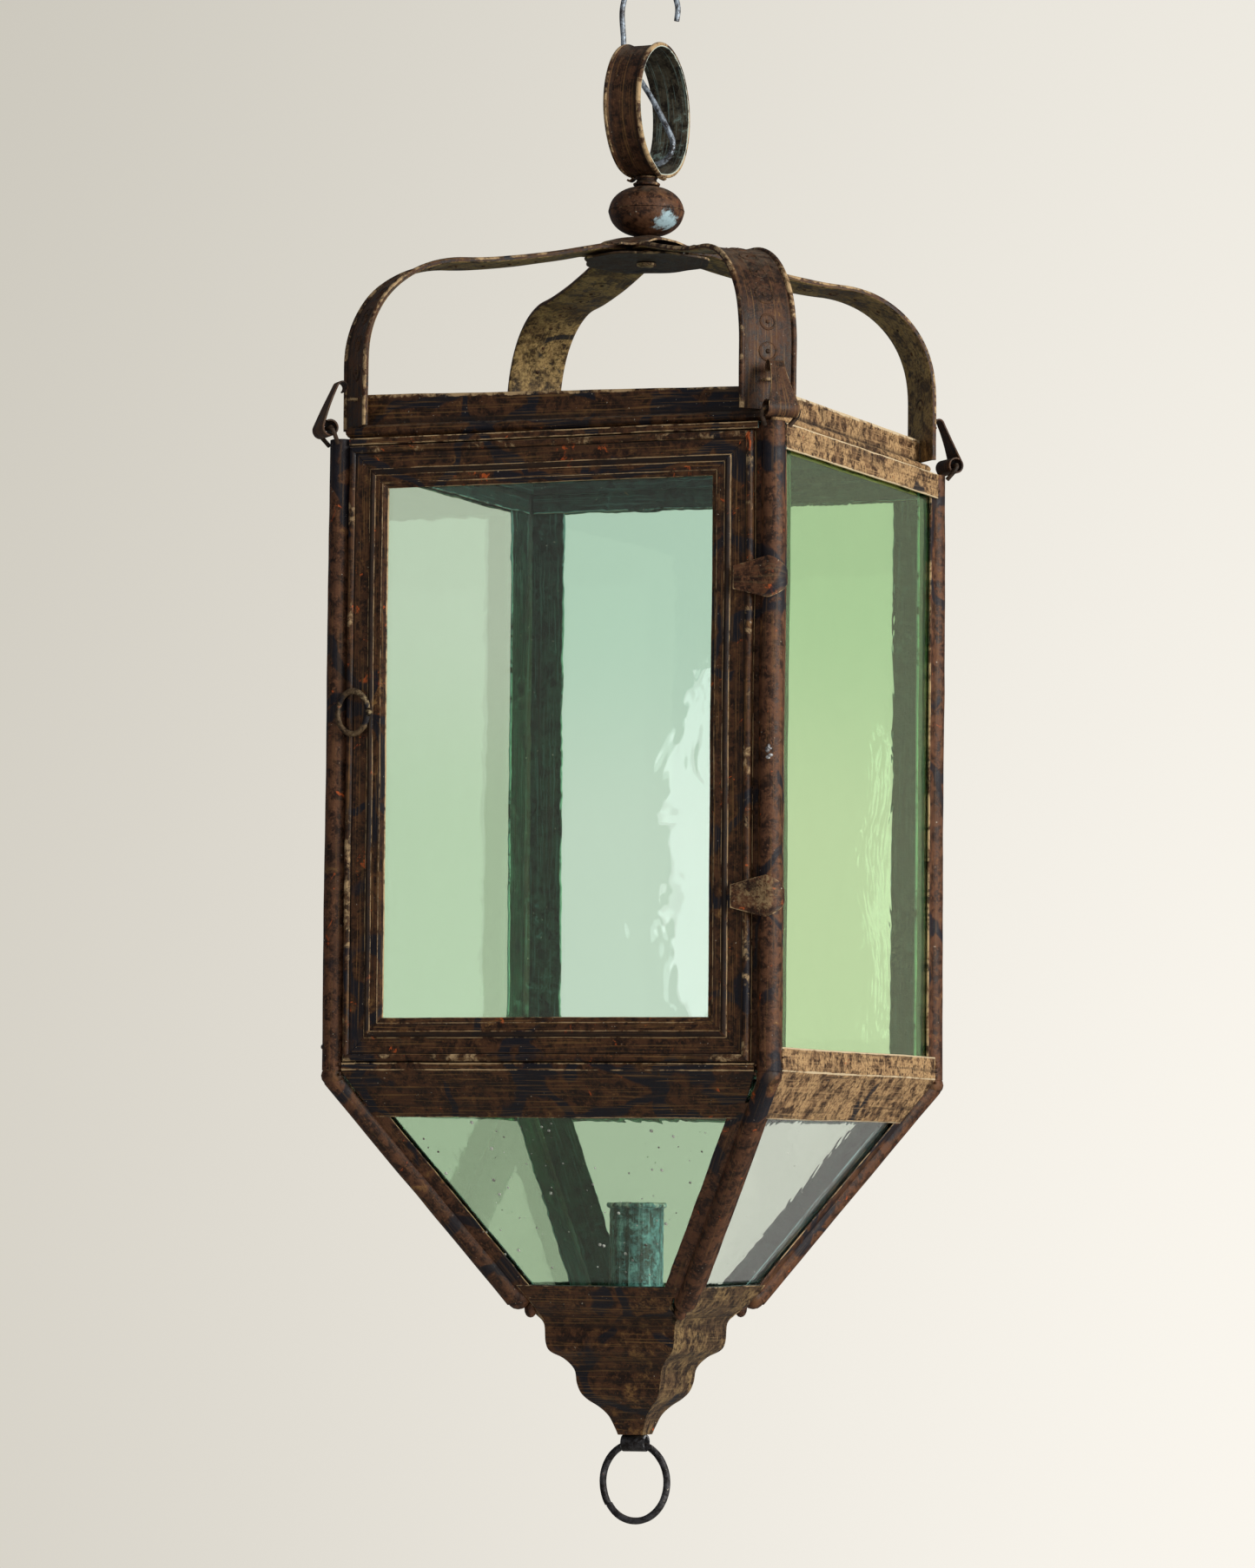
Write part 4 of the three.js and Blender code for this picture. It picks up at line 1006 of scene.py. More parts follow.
def makeCup():
    outer = cup["diameter"] / 2
    foot, top = trayTop + gap, trayTop + gap + cup["height"]
    rimMiddle = top - cup["rim"]
    roll = [(outer + cup["rim"] * (0.2 + math.cos(a)), rimMiddle + cup["rim"] * math.sin(a), 0.9)
            for a in (math.pi * (k / 8 - 0.5) for k in range(9))]
    profile = [(2, foot, 0), (outer, foot, 0), (outer, foot + 1.5, 0), (outer + 0.25, foot + 3, 0.5),
               (outer, foot + 4.5, 0), (outer, foot + 14, 0), (outer, foot + 24, 0), (outer, foot + 34, 0),
               (outer, rimMiddle - 1.9, -0.6), *roll, (outer - cup["wall"], top - 0.6, 0.3),
               (outer - cup["wall"], foot + 30, 0), (outer - cup["wall"], foot + 12, 0),
               (outer - cup["wall"], foot + 1, 0), (2, foot + 1, 0)]

    def seam(r, z, angle):
        # the cup's lapped side seam
        away = abs(math.degrees(angle) - 250)
        return (r + (0.55 if away < 6 else 0) if r > outer - 0.5 else r), z
    stock = turned(newStock(), profile, 72, shape=seam)
    stock["strips"] = [[(v, u) for u, v in face] for face in stock["strips"]]   # marks run up the cup
    settle(toMesh("cup", stock, [cupPaint]), "candle_cup")


makeTray()
makeCup()

crown = dict(half=half - 6, height=18, pulled=5, lap=2.2, bead=2.9, armWidth=29.5, armSheet=1.5, rim=1.2,
             rimWidth=2.6, shoulder=38, bendRise=90, bendDepth=49.1, hubRise=102, hubReach=30, armEnd=17,
             catchRise=21, catchReach=3.4)
crownTop = bodyTop + crown["height"]
armFace = crown["half"] * math.sqrt(2) + gap + crown["armSheet"]
armHub = bodyTop + crown["hubRise"]


def makeCrownBand():
    low, seat, face = bodyTop - crown["lap"], bodyTop + gap, crown["half"]
    bead = [(face + 0.1 + crown["bead"] * 1.6 * math.cos(a), seat + crown["bead"] * (1 + math.sin(a)),
             0.55 * math.cos(a)) for a in (math.pi * (k / 10 - 0.5) for k in range(11))]
    hem = [(face + 0.45, crownTop - 2.6, 0.4), (face + 0.55, crownTop - 1.4, 0.9),
           (face + 0.1, crownTop - 0.2, 1.0), (face - 0.6, crownTop, 1.0)]
    # the negative edge weights beside the bead mark nooks that take painted shade
    section = [(face - sheet, low, 0.0), (face, low, 0.0), (face, seat, -0.5), *bead,
               (face, seat + 2 * crown["bead"] + 0.6, -0.9), (face, seat + 9, 0.0), (face, crownTop - 4, 0.0),
               *hem, (face - sheet, crownTop - 0.5, 0.8), (face - sheet, crownTop - 3, 0.0)]
    stock = newStock()
    for side, turns in sides:
        outside = len(section) - 2
        # the right side takes the lit ochre copy, partly painted light
        light = 1 if side == "right" else 0
        strip(stock, section, lambda a, b: a - 0.02, turns, 4,
              lambda k, i, light=light: light if 1 <= k < outside else 2, endEdge=0.6)
    # the band has been pulled taller at the front left corner
    for spot in stock["points"]:
        share = max(0, (crown["half"] - spot.x) * (crown["half"] - spot.y)) / (2 * crown["half"]) ** 2
        spot.z += crown["pulled"] * min(1, share) * max(0, spot.z - seat) / crown["height"]
    settle(toMesh("crownBand", stock, [bandPaint, litOchrePaint, shadedInsideTin]), "crown_band")


def bezier(points, steps):
    a, b, c, d = points
    return [a * (1 - t) ** 3 + b * 3 * t * (1 - t) ** 2 + c * 3 * t * t * (1 - t) + d * t ** 3
            for t in (k / steps for k in range(steps))]


def armLine():
    # (reach, height) of the middle of an arm's sheet, from its foot to the hub
    centre = armFace - crown["armSheet"] / 2
    foot = bodyTop + 2 * gap + 2 * crown["bead"]
    shoulder = Vector((centre, 0, bodyTop + crown["shoulder"]))
    bendEnd = Vector((armFace - crown["bendDepth"], 0, bodyTop + crown["bendRise"]))
    hub = Vector((crown["hubReach"], 0, armHub))
    rise = crown["bendRise"] - crown["shoulder"]
    line = [Vector((centre, 0, foot + (shoulder.z - foot) * k / 8)) for k in range(8)]
    line += bezier([shoulder, Vector((centre, 0, shoulder.z + rise * 0.62)),
                    Vector((bendEnd.x + rise / 2, 0, bendEnd.z - 2)), bendEnd], 22)
    line += bezier([bendEnd, Vector((bendEnd.x - 25, 0, bendEnd.z + 1)),
                    Vector((crown["hubReach"] + 22, 0, armHub - 5)), hub], 22)
    return line + [hub, Vector((23, 0, armHub + 0.3)), Vector((crown["armEnd"], 0, armHub + 0.6))]


def armSection():
    wide, back, face, rim = crown["armWidth"] / 2, -crown["armSheet"] / 2, crown["armSheet"] / 2, crown["rim"]
    rimIn = wide - crown["rimWidth"]
    dish = 0.25                                # the strap is slightly hollow between its rims
    roll = [(rimIn + 1.3 + 1.3 * math.cos(a), face + rim - 1.2 + 1.2 * math.sin(a), 0.9)
            for a in (math.pi * k / 8 for k in range(9))]
    top = [(wide, back + 0.4, 0.5), *roll, (rimIn - 1.2, face, -0.9), (rimIn - 3, face - dish * 0.4, -0.1)]
    over = [(6, face - dish, 0), (0, face - dish, 0), (-6, face - dish, 0)]
    mirrored = [(-a, b, e) for a, b, e in reversed(top)]
    under = [(-wide + 0.5, back, 0.5), (-wide + 3, back, 0), (-5, back, 0), (5, back, 0),
             (wide - 3, back, 0), (wide - 0.5, back, 0.5)]
    return top + over + mirrored + under


armSide = Vector((0, 1, 0))
armPath = armLine()


def makeArm(turns):
    turn = eighth(turns)
    section = armSection()
    topCount = len(section) - 6
    path = [turn @ spot for spot in armPath]
    stock = newStock()
    bend(stock, section, path, turn @ armSide, lambda k, i: 1 if k >= topCount - 1 else 0)
    catchZ = bodyTop + crown["catchRise"]
    tab = soften([(-3, -0.6), (3, -0.6), (3, 0.6), (-3, 0.6)], 0.3, 2, 5)
    inside = turn @ Vector((armFace - crown["armSheet"], 0, catchZ - 0.6))
    outside = turn @ Vector((armFace + crown["catchReach"], 0, catchZ - 0.6))
    along(stock, tab, inside, outside, turn @ armSide, 1.2, 0, lambda t: (1 - 0.25 * t, 1))
    mesh = toMesh("arm", stock, [crownPaint, armBackPaint])
    return turn, mesh


def finishTree(tree, geometry, finish, out, smooth=True):
    real = put(tree, "GeometryNodeRealizeInstances", {"Geometry": geometry}).outputs[0]
    if smooth:
        real = put(tree, "GeometryNodeSetShadeSmooth", {"Geometry": real, "Shade Smooth": True}).outputs[0]
    painted = put(tree, "GeometryNodeSetMaterial", {"Geometry": real, "Material": finish})
    tree.links.new(painted.outputs[0], out["Geometry"])


def evenCurve(tree, path, step):
    curve = put(tree, "GeometryNodeMeshToCurve", {"Mesh": path}).outputs[0]
    return put(tree, "GeometryNodeResampleCurve", {"Curve": curve, "Length": step}, mode="LENGTH").outputs[0]


def makeWireTree():
    # round wire along a path, a little uneven in thickness
    tree, given, out = newGroup("bentWire", "GeometryNodeTree", [
        ("Path", "NodeSocketGeometry", None), ("Diameter", "NodeSocketFloat", 0.003),
        ("Step", "NodeSocketFloat", 0.0012), ("Uneven", "NodeSocketFloat", 0.06),
        ("Finish", "NodeSocketMaterial", None)], [("Geometry", "NodeSocketGeometry")])
    even = evenCurve(tree, given["Path"], given["Step"])
    lumps = put(tree, "ShaderNodeTexNoise", {"Scale": 160.0, "Detail": 2.0}).outputs["Fac"]
    radius = maths(tree, "ADD", 1, maths(tree, "MULTIPLY", maths(tree, "SUBTRACT", lumps, 0.5),
                                         maths(tree, "MULTIPLY", given["Uneven"], 2)))
    sized = put(tree, "GeometryNodeSetCurveRadius", {"Curve": even, "Radius": radius})
    ring = put(tree, "GeometryNodeCurvePrimitiveCircle", {
        "Resolution": 14, "Radius": maths(tree, "MULTIPLY", given["Diameter"], 0.5)})
    skin = put(tree, "GeometryNodeCurveToMesh", {"Curve": sized.outputs[0], "Profile Curve": ring.outputs[0],
                                                 "Fill Caps": True})
    for socket in skin.inputs:
        if socket.name == "Scale":
            tree.links.new(radius, socket)
    finishTree(tree, skin.outputs[0], given["Finish"], out)
    return tree


def makeBossTree():
    # embossed rings in a row along a strap, each square to the strap
    tree, given, out = newGroup("bossRow", "GeometryNodeTree", [
        ("Path", "NodeSocketGeometry", None), ("Pitch", "NodeSocketFloat", 0.014),
        ("Diameter", "NodeSocketFloat", 0.012), ("Side", "NodeSocketVector", None),
        ("Height", "NodeSocketFloat", 0.001), ("Finish", "NodeSocketMaterial", None)],
        [("Geometry", "NodeSocketGeometry")])
    spots = evenCurve(tree, given["Path"], given["Pitch"])
    run = put(tree, "GeometryNodeInputTangent").outputs[0]
    outward = put(tree, "ShaderNodeVectorMath", {0: given["Side"], 1: run}, operation="CROSS_PRODUCT")
    facing = put(tree, "FunctionNodeAlignRotationToVector", {"Vector": outward.outputs[0]}, axis="Z")
    bead = put(tree, "GeometryNodeCurvePrimitiveCircle", {"Resolution": 8, "Radius": given["Height"]})
    track = put(tree, "GeometryNodeCurvePrimitiveCircle", {
        "Resolution": 20, "Radius": maths(tree, "MULTIPLY", given["Diameter"], 0.36)})
    ring = put(tree, "GeometryNodeCurveToMesh", {"Curve": track.outputs[0], "Profile Curve": bead.outputs[0]})
    knob = put(tree, "GeometryNodeMeshIcoSphere", {
        "Radius": maths(tree, "MULTIPLY", given["Height"], 1.6), "Subdivisions": 2})
    pair = put(tree, "GeometryNodeJoinGeometry")
    tree.links.new(ring.outputs[0], pair.inputs[0])
    tree.links.new(knob.outputs[0], pair.inputs[0])
    turn = put(tree, "FunctionNodeRandomValue", {"Seed": 4}, data_type="FLOAT")
    turn.inputs[2].default_value = 0.85
    turn.inputs[3].default_value = 1.12
    size = put(tree, "ShaderNodeCombineXYZ", {0: turn.outputs[1], 1: turn.outputs[1], 2: 1.0})
    placed = put(tree, "GeometryNodeInstanceOnPoints", {
        "Points": spots, "Instance": pair.outputs[0], "Rotation": facing.outputs[0],
        "Scale": size.outputs[0]})
    finishTree(tree, placed.outputs[0], given["Finish"], out)
    return tree


def makeDropTree():
    # drops of solder of uneven size, strung along a joint
    tree, given, out = newGroup("solderDrops", "GeometryNodeTree", [
        ("Path", "NodeSocketGeometry", None), ("Pitch", "NodeSocketFloat", 0.003),
        ("Size", "NodeSocketFloat", 0.001), ("Spread", "NodeSocketFloat", 0.0006),
        ("Seed", "NodeSocketInt", 1), ("Finish", "NodeSocketMaterial", None)],
        [("Geometry", "NodeSocketGeometry")])
    spots = evenCurve(tree, given["Path"], given["Pitch"])
    shift = put(tree, "FunctionNodeRandomValue", {"Seed": given["Seed"]}, data_type="FLOAT_VECTOR")
    shift.inputs[0].default_value = (-1, -1, -1)
    shift.inputs[1].default_value = (1, 1, 1)
    offset = put(tree, "ShaderNodeVectorMath", {0: shift.outputs[0], "Scale": given["Spread"]},
                 operation="SCALE")
    moved = put(tree, "GeometryNodeSetPosition", {"Geometry": spots, "Offset": offset.outputs[0]})
    ball = put(tree, "GeometryNodeMeshIcoSphere", {"Radius": given["Size"], "Subdivisions": 2})
    scale = put(tree, "FunctionNodeRandomValue", {"Seed": maths(tree, "ADD", given["Seed"], 7)},
                data_type="FLOAT_VECTOR")
    scale.inputs[0].default_value = (0.45, 0.45, 0.45)
    scale.inputs[1].default_value = (1.25, 1.25, 1.25)
    placed = put(tree, "GeometryNodeInstanceOnPoints", {
        "Points": moved.outputs[0], "Instance": ball.outputs[0], "Scale": scale.outputs[0]})
    finishTree(tree, placed.outputs[0], given["Finish"], out)
    return tree


def makeSpeckTree():
    # flat specks scattered over a surface: lime splashes outside, seeds in the glass
    tree, given, out = newGroup("specks", "GeometryNodeTree", [
        ("Surface", "NodeSocketGeometry", None), ("Density", "NodeSocketFloat", 3000.0),
        ("Size", "NodeSocketFloat", 0.0005), ("Flatness", "NodeSocketFloat", 0.4),
        ("Seed", "NodeSocketInt", 1), ("Finish", "NodeSocketMaterial", None)],
        [("Geometry", "NodeSocketGeometry")])
    spots = put(tree, "GeometryNodeDistributePointsOnFaces", {
        "Mesh": given["Surface"], "Density": given["Density"], "Seed": given["Seed"]},
        distribute_method="RANDOM")
    ball = put(tree, "GeometryNodeMeshIcoSphere", {"Radius": given["Size"], "Subdivisions": 1})
    power = put(tree, "FunctionNodeRandomValue", {"Seed": maths(tree, "ADD", given["Seed"], 3)},
                data_type="FLOAT")
    power.inputs[2].default_value = 0.25
    power.inputs[3].default_value = 1.0
    wide = maths(tree, "POWER", power.outputs[1], 2.0)
    flat = put(tree, "ShaderNodeCombineXYZ", {0: wide, 1: wide,
                                              2: maths(tree, "MULTIPLY", wide, given["Flatness"])})
    placed = put(tree, "GeometryNodeInstanceOnPoints", {
        "Points": spots.outputs["Points"], "Instance": ball.outputs[0],
        "Rotation": spots.outputs["Rotation"], "Scale": flat.outputs[0]})
    finishTree(tree, placed.outputs[0], given["Finish"], out)
    return tree


wireTree = makeWireTree()
bossTree = makeBossTree()
dropTree = makeDropTree()
speckTree = makeSpeckTree()


def pathMesh(name, points, closed=False):
    # a line of edges in metres through points given in millimetres above the fold
    mesh = bpy.data.meshes.new(name)
    links = [(i, i + 1) for i in range(len(points) - 1)]
    if closed:
        links.append((len(points) - 1, 0))
    mesh.from_pydata(inFrame(points), links, [])
    return mesh


def grow(tree, mesh, **inputs):
    # runs a tree on a mesh and gives back the plain mesh it makes
    source = bpy.data.objects.new("source", mesh)
    bpy.context.scene.collection.objects.link(source)
    modifier = source.modifiers.new("grow", "NODES")
    modifier.node_group = tree
    names = {item.name: item.identifier for item in tree.interface.items_tree if item.in_out == "INPUT"}
    for label, value in inputs.items():
        modifier[names[label]] = value
    depsgraph = bpy.context.evaluated_depsgraph_get()
    result = bpy.data.meshes.new_from_object(source.evaluated_get(depsgraph), depsgraph=depsgraph)
    bpy.data.objects.remove(source)
    return result


def addEdge(mesh, value=0.3):
    # grown meshes take the same edge attribute and strip layer as the folded ones
    edge = mesh.attributes.get("edge") or mesh.attributes.new("edge", "FLOAT", "POINT")
    edge.data.foreach_set("value", [value] * len(mesh.vertices))
    if not mesh.uv_layers.get("strip"):
        mesh.uv_layers.new(name="strip")
    return mesh


def joinMeshes(first, *others):
    # puts the faces of the other meshes into the first, with their finishes
    whole = bmesh.new()
    whole.from_mesh(first)
    for other in others:
        shift = {}
        for i, finish in enumerate(other.materials):
            found = first.materials.find(finish.name) if finish else -1
            if found < 0:
                first.materials.append(finish)
                found = len(first.materials) - 1
            shift[i] = found
        before = len(whole.faces)
        whole.from_mesh(other)
        whole.faces.ensure_lookup_table()
        for face in whole.faces[before:]:
            face.material_index = shift.get(face.material_index, 0)
    whole.to_mesh(first)
    whole.free()
    return first


boss = dict(pitch=14.2, diameter=11.5, height=0.85, first=7, last=44)
for corner, turns in corners:
    turn, mesh = makeArm(turns)
    row = pathMesh("bossRow", [turn @ spot for spot in armPath[boss["first"]:boss["last"]]])
    bosses = grow(bossTree, row, Pitch=boss["pitch"] * mm, Diameter=boss["diameter"] * mm,
                  Side=tuple(turn @ armSide), Height=boss["height"] * mm, Finish=crownPaint)
    settle(joinMeshes(mesh, addEdge(bosses, 0.45)), f"crown_arm_{corner}")

makeCrownBand()
print("crown made")

hub = dict(plateRadius=33, capRadius=24, ballDiameter=38.3, ballHeight=25.4, ballRise=9.4, neckRadius=6,
           neckHeight=4.6, spindleRadius=2.4, ballWall=1)
ballBottom = armHub + hub["ballRise"]
ballTop = ballBottom + hub["ballHeight"]
spindleHole = hub["spindleRadius"] + gap


def makeHubPlate():
    top = armHub - crown["armSheet"] / 2 - gap - sheet

    def ragged(r, z, angle):
        # a rough octagon with its edge beaten down
        corner = 1 + 0.035 * math.cos(8 * angle) + 0.03 * math.sin(3 * angle + 1)
        rim = max(0, (r - 22) / 11)
        return r * corner * 0.955, z - 0.5 * rim * rim
    profile = soften([(spindleHole, top - sheet), (hub["plateRadius"], top - sheet),
                      (hub["plateRadius"], top), (spindleHole, top)], 0.4)
    stretched = []
    for i, (r, z, e) in enumerate(profile):
        stretched.append((r, z, e))
        nextR, nextZ, nextE = profile[(i + 1) % len(profile)]
        if abs(nextR - r) > 8:
            stretched += [(r + (nextR - r) * k / 6, z, 0.0) for k in range(1, 6)]
    settle(toMesh("hubPlate", turned(newStock(), stretched, 72, shape=ragged), [darkPaint]), "hub_plate")


def makeHubCap():
    # a square of tin draped over the four arm ends: high at the middle, down over each arm's edge
    top = ballBottom - gap
    low = armHub + crown["armSheet"] + crown["rim"] + 2 * gap - 1.5
    count = 26
    stock = newStock()
    wide = hub["capRadius"]
    rows = []
    for j in range(count + 1):
        for i in range(count + 1):
            u, v = 2 * i / count - 1, 2 * j / count - 1
            x, y = u * wide * 0.9, v * wide * 0.9
            x, y = (x - y) / math.sqrt(2) * 1.06, (x + y) / math.sqrt(2) * 1.06
            far = math.hypot(x, y)
            overArm = math.cos(2 * math.atan2(y, x) + math.pi / 2) ** 2 if far > 0.1 else 1
            fall = min(1, max(0, (far - 6) / 20))
            z = top - (top - low) * fall ** 1.25 * (0.62 + 0.38 * (1 - overArm))
            z += 0.5 * noise.noise(Vector((x * 0.12, y * 0.12, 3)))
            rows.append(Vector((x, y, min(z, top))))
    for depth in (0, 0.95):
        for k, spot in enumerate(rows):
            onRim = k % (count + 1) in (0, count) or k // (count + 1) in (0, count)
            stock["points"].append(spot - Vector((0, 0, depth)))
            stock["edges"].append(1.0 if onRim else 0.1)
    closeSheet(stock, count, count, 0.002)
    settle(toMesh("hubCap", stock, [crownPaint]), "hub_cap")


def makeBallHalf(node, sign):
    radius, rise = hub["ballDiameter"] / 2, hub["ballHeight"] / 2 - gap / 2
    middle = ballBottom + hub["ballHeight"] / 2
    steps = 16
    outer = []
    for k in range(steps + 1):
        angle = math.pi / 2 * k / steps
        flat = 0.35 * max(0, 1 - k / 1.5)       # a raised seam where the halves meet
        outer.append((max((radius - 0.4) * math.cos(angle) ** 0.86 + flat, spindleHole),
                      gap / 2 + rise * math.sin(angle), 1.0 if k == 0 else 0.5 if k == 1 else 0.0))
    inner = [(max(r - hub["ballWall"], spindleHole), max(gap / 2, z - hub["ballWall"]), 0.0)
             for r, z, e in outer[:-1]]
    profile = [(r, middle + sign * z, e) for r, z, e in outer + inner[::-1]]
    settle(toMesh("ball", turned(newStock(), profile, 72), [ballPaint]), node)


def makeSpindle():
    tail = armHub - crown["armSheet"] / 2 - 2 * (gap + sheet)
    neckLow = ballTop + gap
    neckHigh = neckLow + hub["neckHeight"]
    head = ringBottom + gap + ring["inner"] - math.sqrt(ring["inner"] ** 2 - (hub["neckRadius"] - 1) ** 2)
    neck = hub["neckRadius"]
    outline = [(0.3, tail - 2), (3, tail - 2), (neck - 1.2, tail - 1.4), (neck - 1, tail - 0.2),
               (hub["spindleRadius"], tail), (hub["spindleRadius"], neckLow - 0.05), (neck + 0.6, neckLow),
               (neck + 0.9, neckLow + 1.0), (neck - 0.6, neckLow + 1.9), (neck - 1.1, neckLow + 2.9),
               (neck - 0.2, neckHigh - 0.5), (neck - 0.8, neckHigh), (hub["spindleRadius"], neckHigh),
               (hub["spindleRadius"], head), (neck - 1, head), (neck - 1.6, head + 0.8), (2.5, head + 1.3),
               (0.3, head + 1.4)]
    profile = soften([(r, z) for r, z in outline], 0.35, 3, 5)
    settle(toMesh("spindle", turned(newStock(), profile, 40), [crownPaint]), "spindle")


ring = dict(outer=34, band=20, sheet=1.2, rim=1.2, rimWidth=2.4)
ring["inner"] = ring["outer"] - ring["rim"] - ring["sheet"]
ringMiddle = ballTop + hub["neckHeight"] + 2 * gap + ring["outer"] - ring["rim"]
ringBottom = ringMiddle - ring["inner"]


def makeRing():
    wide, outer, floor = ring["band"] / 2, ring["outer"], ring["outer"] - ring["rim"]
    inner = ring["inner"]
    rim = [(outer - 1.2 + 1.2 * math.sin(a), wide - 1.3 + 1.3 * math.cos(a), 0.95)
           for a in (math.pi * k / 8 - math.pi / 6 for k in range(8))]
    # the nook inside the rim takes painted shade
    nook = [(floor, wide - ring["rimWidth"] - 1.0, -0.9), (floor - 0.05, wide - 5, -0.1)]
    low = [(inner, 0, 0), (inner, wide * 0.5, 0), (inner, wide - 1.2, 0.3), (inner + 0.2, wide - 0.2, 0.8)]
    right = low + rim + nook
    left = [(r, -z, e) for r, z, e in reversed(right[1:])]
    profile = right + [(floor - 0.1, 0, 0)] + left

    def pinch(r, z, angle):
        # the band narrows and its rims fold in where it meets the spindle
        away = abs((math.degrees(angle) - 270 + 180) % 360 - 180)
        close = max(0, 1 - away / 26)
        return r - (0.35 if r > floor + 0.3 else 0) * close, z * (1 - 0.2 * close * close)
    innerFaces = 4
    total = len(profile)

    def finish(k, i):
        return 1 if k < innerFaces or k >= total - innerFaces else 0
    middle = Vector((0, 0, ringMiddle))
    stock = turned(newStock(), profile, 96, finish, middle, "X", pinch)
    # two short feet where the strap's ends are bent out beside the neck
    for hand in (-1, 1):
        tongue = soften([(-2.3, -0.5), (2.3, -0.5), (2.3, 0.5), (-2.3, 0.5)], 0.25, 2, 5)
        path = [Vector((hand * (6.5 + 3.6 * t), 0, ringBottom - 2.6 + 1.1 * (2 * t - 1) ** 2 - 1.1 * t))
                for t in (k / 8 for k in range(9))]
        bend(stock, tongue, path, armSide, widths=[1 - 0.35 * k / 8 for k in range(9)])
    settle(toMesh("ring", stock, [crownPaint, ringInnerPaint]), "hanging_ring")


makeHubPlate()
makeHubCap()
makeBallHalf("ball_lower", -1)
makeBallHalf("ball_upper", 1)
makeSpindle()
makeRing()
print("hub and ring made")

clasp = dict(pinOut=3, pinRise=5, pinWire=2.2, pinLength=19, footIn=4.4, footDrop=2.4, bend=3.2, eye=8.2,
             eyeLength=16, sheet=0.8, width=7.5, curl=6, rise=21, lean=7.6)
pinReach = half * math.sqrt(2) + postRadius + clasp["pinOut"]
pinHeight = bodyTop + clasp["pinRise"]


def makeClaspPin(corner, turns):
    turn = eighth(turns)
    wide = clasp["pinLength"] / 2
    one = [Vector((pinReach - clasp["footIn"], wide - clasp["bend"], bodyTop - clasp["footDrop"])),
           Vector((pinReach - clasp["bend"] / 2, wide - 0.2, pinHeight - clasp["bend"])),
           Vector((pinReach - 0.3, wide - 0.1, pinHeight - 0.9)), Vector((pinReach, wide - 1.0, pinHeight))]
    other = [Vector((p.x, -p.y, p.z)) for p in reversed(one)]
    wire = grow(wireTree, pathMesh("pin", [turn @ p for p in one + other]), Diameter=clasp["pinWire"] * mm,
                Step=0.9 * mm, Uneven=0.05, Finish=darkPaint)
    settle(addEdge(wire), f"clasp_pin_{corner}")


def makeClaspLink(corner, turns):
    # a strap rolled round the pin at its wide end, with a small curl at its narrow end
    turn = eighth(turns)
    centre = Vector((pinReach, 0, pinHeight))
    eyeR, curlR = clasp["eye"] / 2 - clasp["sheet"] / 2, clasp["curl"] / 2 - clasp["sheet"] / 2
    top = centre + Vector((-clasp["lean"], 0, clasp["rise"]))
    lean = math.atan2(clasp["lean"], clasp["rise"])
    path, wide = [], []
    for k in range(26):
        # the open roll round the pin, ending on its outer side
        angle = lean + math.radians(-318 + 318 * k / 25)
        path.append(centre + Vector((eyeR * math.cos(angle), 0, eyeR * math.sin(angle))))
        wide.append(clasp["eyeLength"] / 2)
    roll = path[-1].copy()
    startCurl = top + Vector((curlR * math.cos(lean), 0, curlR * math.sin(lean)))
    for k in range(1, 12):
        t = k / 12
        path.append(roll.lerp(startCurl, t) + Vector((0.35 * math.sin(math.pi * t), 0, 0)))
        wide.append((clasp["eyeLength"] * (1 - t) ** 1.6 + clasp["width"] * (1 - (1 - t) ** 1.6)) / 2)
    for k in range(14):
        angle = lean + math.radians(215 * k / 13)
        path.append(top + Vector((curlR * math.cos(angle), 0, curlR * math.sin(angle))))
        wide.append(clasp["width"] / 2)
    thick = clasp["sheet"] / 2
    flat = soften([(-1, -thick), (1, -thick), (1, thick), (-1, thick)], 0.03, 2, 0.1)
    flat = [(a, b, 0.9 * e) for a, b, e in flat]
    stock = bend(newStock(), flat, [turn @ spot for spot in path], turn @ armSide, widths=wide)
    settle(toMesh("link", stock, [crownPaint]), f"clasp_link_{corner}")


for corner, turns in corners:
    makeClaspPin(corner, turns)
    makeClaspLink(corner, turns)

wires = dict(hook=2.8, pull=3, bottom=3.6, pullWidth=19, pullHeight=24, pullHeightAt=177, pullInset=13,
             ringWidth=37.4, ringHeight=41.7, ringFlat=1.5)


def makeHook():
    upper = [(15.3, 13.1), (15.6, 21.4), (10.5, 32.9), (0.5, 37), (-9.6, 32.4), (-14, 21.4), (-13.3, 6.4),
             (-12.4, -0.6), (-6.5, -11.6), (2, -24.6)]
    lower = [(11, 22.6), (14.2, 14.6), (11.6, 7.6), (5, 4.4), (-2, 6.6)]
    points = [Vector((x, z + ring["inner"])) for x, z in upper]
    points += [Vector((x, z - ring["inner"])) for x, z in lower]
    path = [Vector((p.x, 0, p.y + ringMiddle)) for p in smoothCurve(points, 7)]
    wire = grow(wireTree, pathMesh("hook", path), Diameter=wires["hook"] * mm, Step=1.1 * mm, Uneven=0.03,
                Finish=zincWire)
    settle(addEdge(wire, 0.2), "hook")


def loopPoints(width, height, openAt, openBy, steps, flat=0.0):
    points = []
    for i in range(steps + 1):
        angle = math.radians(openAt + openBy / 2 + (360 - openBy) * i / steps)
        rise = min(height * math.sin(angle), height - flat)
        points.append((width * math.cos(angle), rise))
    return points


